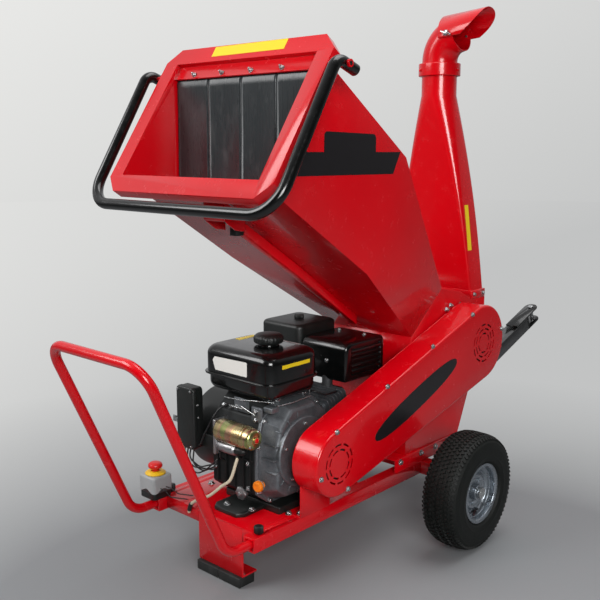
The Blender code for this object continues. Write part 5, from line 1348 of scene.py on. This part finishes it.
def buildEngineRear():
    look = engineLook
    xs, ys, zs = look["guardX"], look["guardY"], look["guardZ"]
    # pressed guard: wide bend along the front of the top, ribs pressed into the right-hand side
    section = softCorners(rectangle(ys, zs), (0.010, 0.010, 0.016, 0.026), 8)
    half = ((ys[1] - ys[0]) / 2, (zs[1] - zs[0]) / 2)
    middle = (ys[0] + half[0], zs[0] + half[1])

    def wall(x, inset):
        return [Vector((x, p.x + (middle[0] - p.x) * inset / half[0], p.y + (middle[1] - p.y) * inset / half[1]))
                for p in section]
    edge = 0.010
    guard = Shape().skin([wall(xs[0] + edge - rise, draw) for draw, rise in reversed(quarter(edge))]
                         + [wall(xs[1] - edge + rise, draw) for draw, rise in quarter(edge)])
    cuts = Shape()
    for k in range(6):
        level = zs[0] + 0.018 + k * 0.0145
        louvre = rectangle((ys[0] + 0.024, ys[1] - 0.020), (level, level + 0.006))
        cuts.prism(softCorners(louvre, 0.0028, 4), (xs[1] - 0.004, xs[1] + 0.01))
    guard.piece("mufflerGuardShell", "frame", blackPaint, ("muffler_guard",), rounding=0.0010, sharp=36,
                cuts=(cuts.object("guardLouvres"),))
    port = headFrame @ Vector((0, 0.100, 0.0463))
    stub = Shape().tube([(0.020, port.y - 0.009, port.z), (0.020, port.y - 0.009, port.z + 0.004),
                         (0.020, port.y - 0.009, zs[0] + 0.01)], 0.0155, 28)
    stub.piece("exhaustStub", "frame", ironCast)
    screws = [((-0.035, -0.080, zs[1]), (0, 0, 1)), ((0.060, -0.080, zs[1]), (0, 0, 1)),
              ((0.030, ys[0], 0.520), (0, -1, 0)), ((-0.040, ys[0], 0.520), (0, -1, 0))]
    fasteners("guardScrews", "frame", screws, across=0.0085, height=0.0032, washer=0.0130)
    xs, ys, zs = look["airX"], look["airY"], look["airZ"]
    air = Shape()
    air.block(xs, ys, (zs[0] + 0.034, zs[1]), 0.022, 0.012, 0.0015, steps=6)
    air.block((xs[0] + 0.003, xs[1] - 0.003), (ys[0] + 0.003, ys[1] - 0.003), (zs[0], zs[0] + 0.0335), 0.020, 0,
              0.008, 6)
    for k in range(5):
        x = xs[0] + 0.030 + k * 0.025
        air.box((x - 0.0012, x + 0.0012), (ys[0] - 0.0016, ys[0] + 0.004), (zs[0] + 0.006, zs[0] + 0.028))
    air.box((xs[1] - 0.02, -0.0703), (-0.150, -0.100), (0.515, 0.560))
    air.piece("airCleanerBox", "frame", blackPlastic, ("air_cleaner",), sharp=40)
    knob = Shape()
    knurledKnob(knob, ((xs[0] + xs[1]) / 2, (ys[0] + ys[1]) / 2), zs[1] - 0.001, zs[1] + 0.013, 0.014)
    knob.piece("airCleanerNut", "frame", blackPlastic, sharp=42)


def buildFanCover():
    # a bell round the fan, flat where it would meet the tray, with a dished face full of slots
    look = engineLook
    y, z = look["crank"][0], look["crank"][1] + 0.010
    start, wide, edge = look["bellX"], look["bellR"], 0.012
    stages = [(look["caseX"][0] - 0.0003, wide)] + [(start + edge - rise, wide - draw) for draw, rise in quarter(edge)]
    stages += [(start, 0.096), (start + 0.003, 0.092), (start + 0.003, 0.030), (start, 0.026)]
    bell = Shape().skin([[Vector((x, y + a * r, max(z + b * r, look["bellFloor"])))
                          for a, b in arc((0, 0), 1.0, 0, 356.25, 95)] for x, r in stages])
    vents = Shape()
    for ring, radius in enumerate((0.042, 0.056, 0.070, 0.084)):
        for k in range(8):
            turn = 45 * k + 22 * (ring % 2)
            slot = arc((y, z), radius + 0.003, turn, turn + 33, 7) + arc((y, z), radius - 0.003, turn + 33, turn, 7)
            vents.prism(slot, (start - 0.01, start + 0.009))
    bell.piece("fanCoverBell", "frame", blackPlastic, ("fan_cover",), sharp=40, cuts=(vents.object("fanVents"),))


def buildLinkage():
    # the small parts between the tank and the crankcase
    front = engineLook["caseY"][0]
    plates = Shape()
    plates.block((0.022, 0.060), (-0.507, -0.4985), (0.404, 0.452), 0.003, 0.004, 0.004, 3)
    plates.block((-0.040, 0.016), (-0.5085, -0.5060), (0.4290, 0.4660), 0.001, 0.0008, 0.0008, 2)
    plates.block((0.058, 0.090), (-0.4990, -0.4700), (0.440, 0.4560), 0.004, 0.004, 0.004, 3)
    plates.piece("regulatorPlates", "frame", greyCast, rounding=0.0005)
    rods = Shape()
    for path in (((-0.078, -0.5075, 0.456), (-0.010, -0.5110, 0.462), (0.048, -0.5080, 0.470), (0.082, -0.4800, 0.466)),
                 ((-0.062, -0.5080, 0.430), (-0.010, -0.5120, 0.446), (0.044, -0.5120, 0.431)),
                 ((0.070, -0.4860, 0.452), (0.096, -0.4300, 0.458), (0.098, -0.3600, 0.462), (0.060, -0.3200, 0.470))):
        rods.tube(softCorners(path, 0.012, 6, closed=False), 0.0016, 12)
    rods.piece("regulatorRods", "frame", brightZinc, sharp=60)
    coil = [(-0.052 + 0.046 * k / 168, -0.5130 + 0.0034 * math.cos(math.tau * k / 12),
             0.4400 + 0.0034 * math.sin(math.tau * k / 12)) for k in range(169)]
    Shape().tube(coil, 0.0006, 6).piece("regulatorSpring", "frame", brightZinc, sharp=60)
    leads = Shape()
    for path in (((0.020, -0.340, 0.462), (0.086, -0.330, 0.466), (0.100, -0.300, 0.452), (0.076, -0.222, 0.440),
                  (0.050, -0.196, 0.430)),
                 ((-0.060, -0.528, 0.290), (-0.058, -0.545, 0.300), (-0.056, -0.548, 0.340), (-0.054, -0.540, 0.372)),
                 ((-0.090, -0.528, 0.302), (-0.086, -0.545, 0.310), (-0.075, -0.549, 0.338), (-0.058, -0.548, 0.345))):
        leads.tube(softCorners(path, 0.014, 6, closed=False), 0.0026, 14)
    leads.lathe([(0, 0), (0.0085, 0), (0.0085, 0.016), (0.0060, 0.024), (0, 0.024)], (0.050, -0.196, 0.428),
                (0.55, -0.55, 0.3), 24)
    leads.piece("engineLeads", "frame", wireBlack, sharp=60)
    bolts = [((-0.0857, -0.5005, 0.431), (0, -0.8, 0.6)), ((-0.084, front, 0.340), (0, -1, 0)),
             ((-0.096, front, 0.262), (0, -1, 0)), ((0.030, front, 0.232), (0, -1, 0)),
             ((0.041, -0.507, 0.440), (0, -1, 0)), ((0.041, -0.507, 0.416), (0, -1, 0)),
             ((-0.028, -0.5085, 0.440), (0, -1, 0)), ((0.030, front, 0.300), (0, -1, 0))]
    fasteners("frontBolts", "frame", bolts, across=0.0095, height=0.0045, washer=0.0130, seed=21)


controlLook = {"x": (-0.212, -0.140), "y": (-0.566, -0.530), "z": (0.303, 0.478), "corner": 0.012,
               "markDeep": 0.0016, "wire": 0.0021, "mainWire": 0.0026}


def buildControls():
    # a moulded switch box, its front lid proud of its back half
    look = controlLook
    xs, ys, zs = look["x"], look["y"], look["z"]
    half = ((xs[1] - xs[0]) / 2, (zs[1] - zs[0]) / 2)
    mid = (xs[0] + half[0], zs[0] + half[1])

    def face(y, inset):
        outline = roundedRectangle(half[0] - inset, half[1] - inset, max(look["corner"] - inset, 0.003))
        return [Vector((mid[0] + a, y, mid[1] + b)) for a, b in outline]
    front, back = ys
    box = Shape().skin([face(back, 0.002), face(back - 0.0005, 0.0012), face(front + 0.016, 0.0012),
                        face(front + 0.0155, 0.0), face(front + 0.006, 0.0), face(front + 0.0018, 0.0016),
                        face(front, 0.006)])
    box.box((xs[0] + 0.02, -0.068), (back - 0.004, engineLook["caseY"][0] - 0.0003), (0.310, 0.346))
    box.piece("controlBoxShell", "frame", blackPlastic, ("control_box",), rounding=0.0008)
    deep = (xs[1] - look["markDeep"], xs[1] + 0.0003)
    marks = Shape().prism(rectangle((-0.5545, -0.5475), (0.428, 0.4315)), deep)
    marks.prism(arc((-0.5485, 0.394), 0.0025, 0, 342, 19), deep)
    marks.piece("controlMarksBlank", "frame", greyVinyl)
    dress("key_switch", brightZinc, 0.0006)
    screws = [((mid[0] + a, front + 0.0001, mid[1] + b), (0, -1, 0)) for a in (-0.026, 0.026) for b in (-0.078, 0.078)]
    fasteners("lidScrews", "frame", screws, across=0.006, height=0.0014, washer=0.007, sides=16)
    wires = Shape()
    for k, (x, away, low) in enumerate(((-0.196, 0.016, 0.268), (-0.184, 0.024, 0.252), (-0.172, 0.018, 0.274),
                                        (-0.160, 0.010, 0.262))):
        endX, endZ = -0.098 + 0.004 * k, 0.252 + 0.010 * k
        path = [(x, -0.548, 0.306), (x, -0.552 - away * 0.3, low), (x + 0.035, -0.545 - away * 0.2, low - 0.020),
                (endX, -0.534, endZ), (endX, -0.520, endZ + 0.010)]
        wires.tube(softCorners(path, (0, 0.022, 0.022, 0.012, 0), 7, closed=False), look["wire"], 12)
    loop = [(-0.150, -0.548, 0.322), (-0.128, -0.556, 0.318), (-0.108, -0.556, 0.356), (-0.086, -0.545, 0.404),
            (-0.075, -0.530, 0.430), (-0.066, -0.500, 0.440)]
    wires.tube(softCorners(loop, (0, 0.014, 0.02, 0.02, 0.012, 0), 7, closed=False), look["mainWire"], 12)
    wires.piece("controlWires", "frame", wireBlack, sharp=60)


starterLook = {"ahead": 0.0306, "height": 0.386, "solenoid": (0.004, -0.044)}


def buildStarter():
    look = starterLook
    y, z = engineLook["caseY"][0] - look["ahead"], look["height"]
    solenoid = (0, y + look["solenoid"][0], z + look["solenoid"][1])
    motor = Shape()
    profile = [(0, -0.052), (0.018, -0.052), (0.024, -0.047), (0.029, -0.040), (0.030, -0.038), (0.030, 0.052),
               (0.0288, 0.0525), (0.0288, 0.0555), (0.030, 0.056), (0.030, 0.060), (0.0275, 0.064)]
    motor.lathe(profile + [(0, 0.064)], (0, y, z), (1, 0, 0), 64)
    motor.lathe([(0, 0.0635), (0.0282, 0.0635), (0.0282, 0.079), (0.026, 0.084), (0.020, 0.0875), (0.0085, 0.0885),
                 (0.0085, 0.0925), (0, 0.0925)], (0, y, z), (1, 0, 0), 56)
    motor.piece("starterBody", "frame", starterPlating, ("starter_motor",), sharp=40)
    ends = Shape()
    ends.lathe([(0, -0.046), (0.0168, -0.046), (0.0168, 0.012), (0.0125, 0.016), (0.0100, 0.0185), (0.0100, 0.034),
                (0, 0.0355)], solenoid, (1, 0, 0), 44)
    ends.block((-0.0525, -0.0440), (y - 0.020, y + 0.0303), (z - 0.066, z + 0.030), 0.003, 0.004, 0.004, 3)
    ends.piece("starterEnds", "frame", bareSteel, rounding=0.0006, sharp=40)
    boot = Shape()
    boot.lathe([(0, 0.010), (0.0125, 0.010), (0.0135, 0.020), (0.0120, 0.034), (0.0080, 0.042), (0.0045, 0.0455),
                (0, 0.0455)], solenoid, (1, 0, 0), 32)
    for rise in (0.021, -0.058):
        boot.lathe([(0, 0), (0.006, 0), (0.006, 0.006), (0, 0.006)], (-0.0445, y - 0.002, z + rise), (1, 0, 0), 6)
    boot.piece("starterBoot", "frame", blackPlastic, sharp=44)
    seal = Shape().lathe([(0, 0.0905), (0.0058, 0.0905), (0.0058, 0.0930), (0.0048, 0.0936), (0, 0.0936)], (0, y, z),
                         (1, 0, 0), 28)
    seal.piece("starterSeal", "frame", redPlastic)
    rods = Shape()
    for a, b in ((0.012, 0.020), (-0.018, -0.015)):
        rods.lathe([(0, 0.0835), (0.0040, 0.0835), (0.0040, 0.0885), (0.0034, 0.0892), (0, 0.0892)],
                   (0, y + a, z + b), (1, 0, 0), 6)
    rods.piece("starterRods", "frame", brightZinc, rounding=0.0003)


def buildOilCap():
    low, high = nodeBox("oil_cap")
    middle = (low + high) / 2
    neck = engineLook["caseY"][0] - 0.0003
    stages = ((0.0088, -0.0118, 0), (0.0088, 0, 0), (0.0140, 0, 0), (0.0146, 0.001, 0.0003), (0.0142, 0.009, 0.0007),
              (0.0128, 0.0118, 0.0003), (0.0100, 0.0128, 0), (0.0075, 0.0128, 0), (0.0070, 0.0105, 0))
    cap = Shape().skin([wavyRing((middle.x, middle.z), radius, neck - out, 16, 160, wave, standing=True)
                        for radius, out, wave in stages])
    cap.piece("oilCapRibbed", "oil_cap", orangePlastic, ("oil_cap",), sharp=42)


# a lead of fixed length from the starter's terminal to its clip on the front cross tube
leadLook = {"thick": 0.008, "length": 0.266, "clips": (0.0058, 0.0062), "stretches": 8}


def buildLead():
    look = leadLook
    route = [Vector(p) for p in ((0.030, -0.5639, 0.3297), (0.036, -0.576, 0.3176), (0.030, -0.591, 0.276),
                                 (0.003, -0.599, 0.252), (-0.035, -0.604, 0.219), (-0.070, -0.6070, 0.200),
                                 (-0.106, -0.6076, 0.176), (-0.118, -0.6076, 0.148))]
    padded = [route[0] * 2 - route[1], *route, route[-1] * 2 - route[-2]]
    path = []
    for a, b, c, d in zip(padded, padded[1:], padded[2:], padded[3:]):
        for k in range(look["stretches"]):
            t = k / look["stretches"]
            path.append(0.5 * (2 * b + (c - a) * t + (2 * a - 5 * b + 4 * c - d) * t * t
                               + (3 * b - a - 3 * c + d) * t ** 3))
    path.append(route[-1])
    lead = Shape().tube(path, look["thick"] / 2, 24).piece("batteryLead", "frame", leadSleeve, ("battery_lead",),
                                                           sharp=60)
    clips = Shape().tube(path[-9:-2], look["clips"][1]).tube(path[:4], look["clips"][0])
    clips = clips.piece("leadClips", "frame", blackPlastic, sharp=60)
    path = [p + fromAxle for p in path]
    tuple(path[0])


buildWheel("right", 1)
buildWheel("left", -1)
print("wheels built")
buildShield()
buildChute()
buildElbow()
print("chute, bend and shield built")
buildTubes()
buildCover()
buildHopper()
buildStickers()
buildFrameBolts()
print("hopper, blank labels and frame bolts built")
buildStopButton()
buildCrankcase()
buildCylinder()
buildTank()
buildEngineRear()
buildFanCover()
buildLinkage()
buildControls()
buildStarter()
buildOilCap()
buildLead()
print("engine built")


# every node that no finer piece stands for keeps its own shape, with its edges broken

def dressTheRest(done):
    # what the housing and the belt cover hide stays as it is, in its own finish
    plain = {"rotor", "rotor_knife_1", "rotor_knife_2", "counter_knife", "rotor_pulley", "engine_pulley", "drive_belt",
             "crankshaft"}
    for node in cadNodes:
        if node in plain:
            cadNodes[node].data.materials.clear()
            cadNodes[node].data.materials.append(slotFinish[slotOf[node]])
        elif node not in done:
            dress(node)


dressTheRest({node for obj in scene.objects for node in obj.get("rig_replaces", [])})
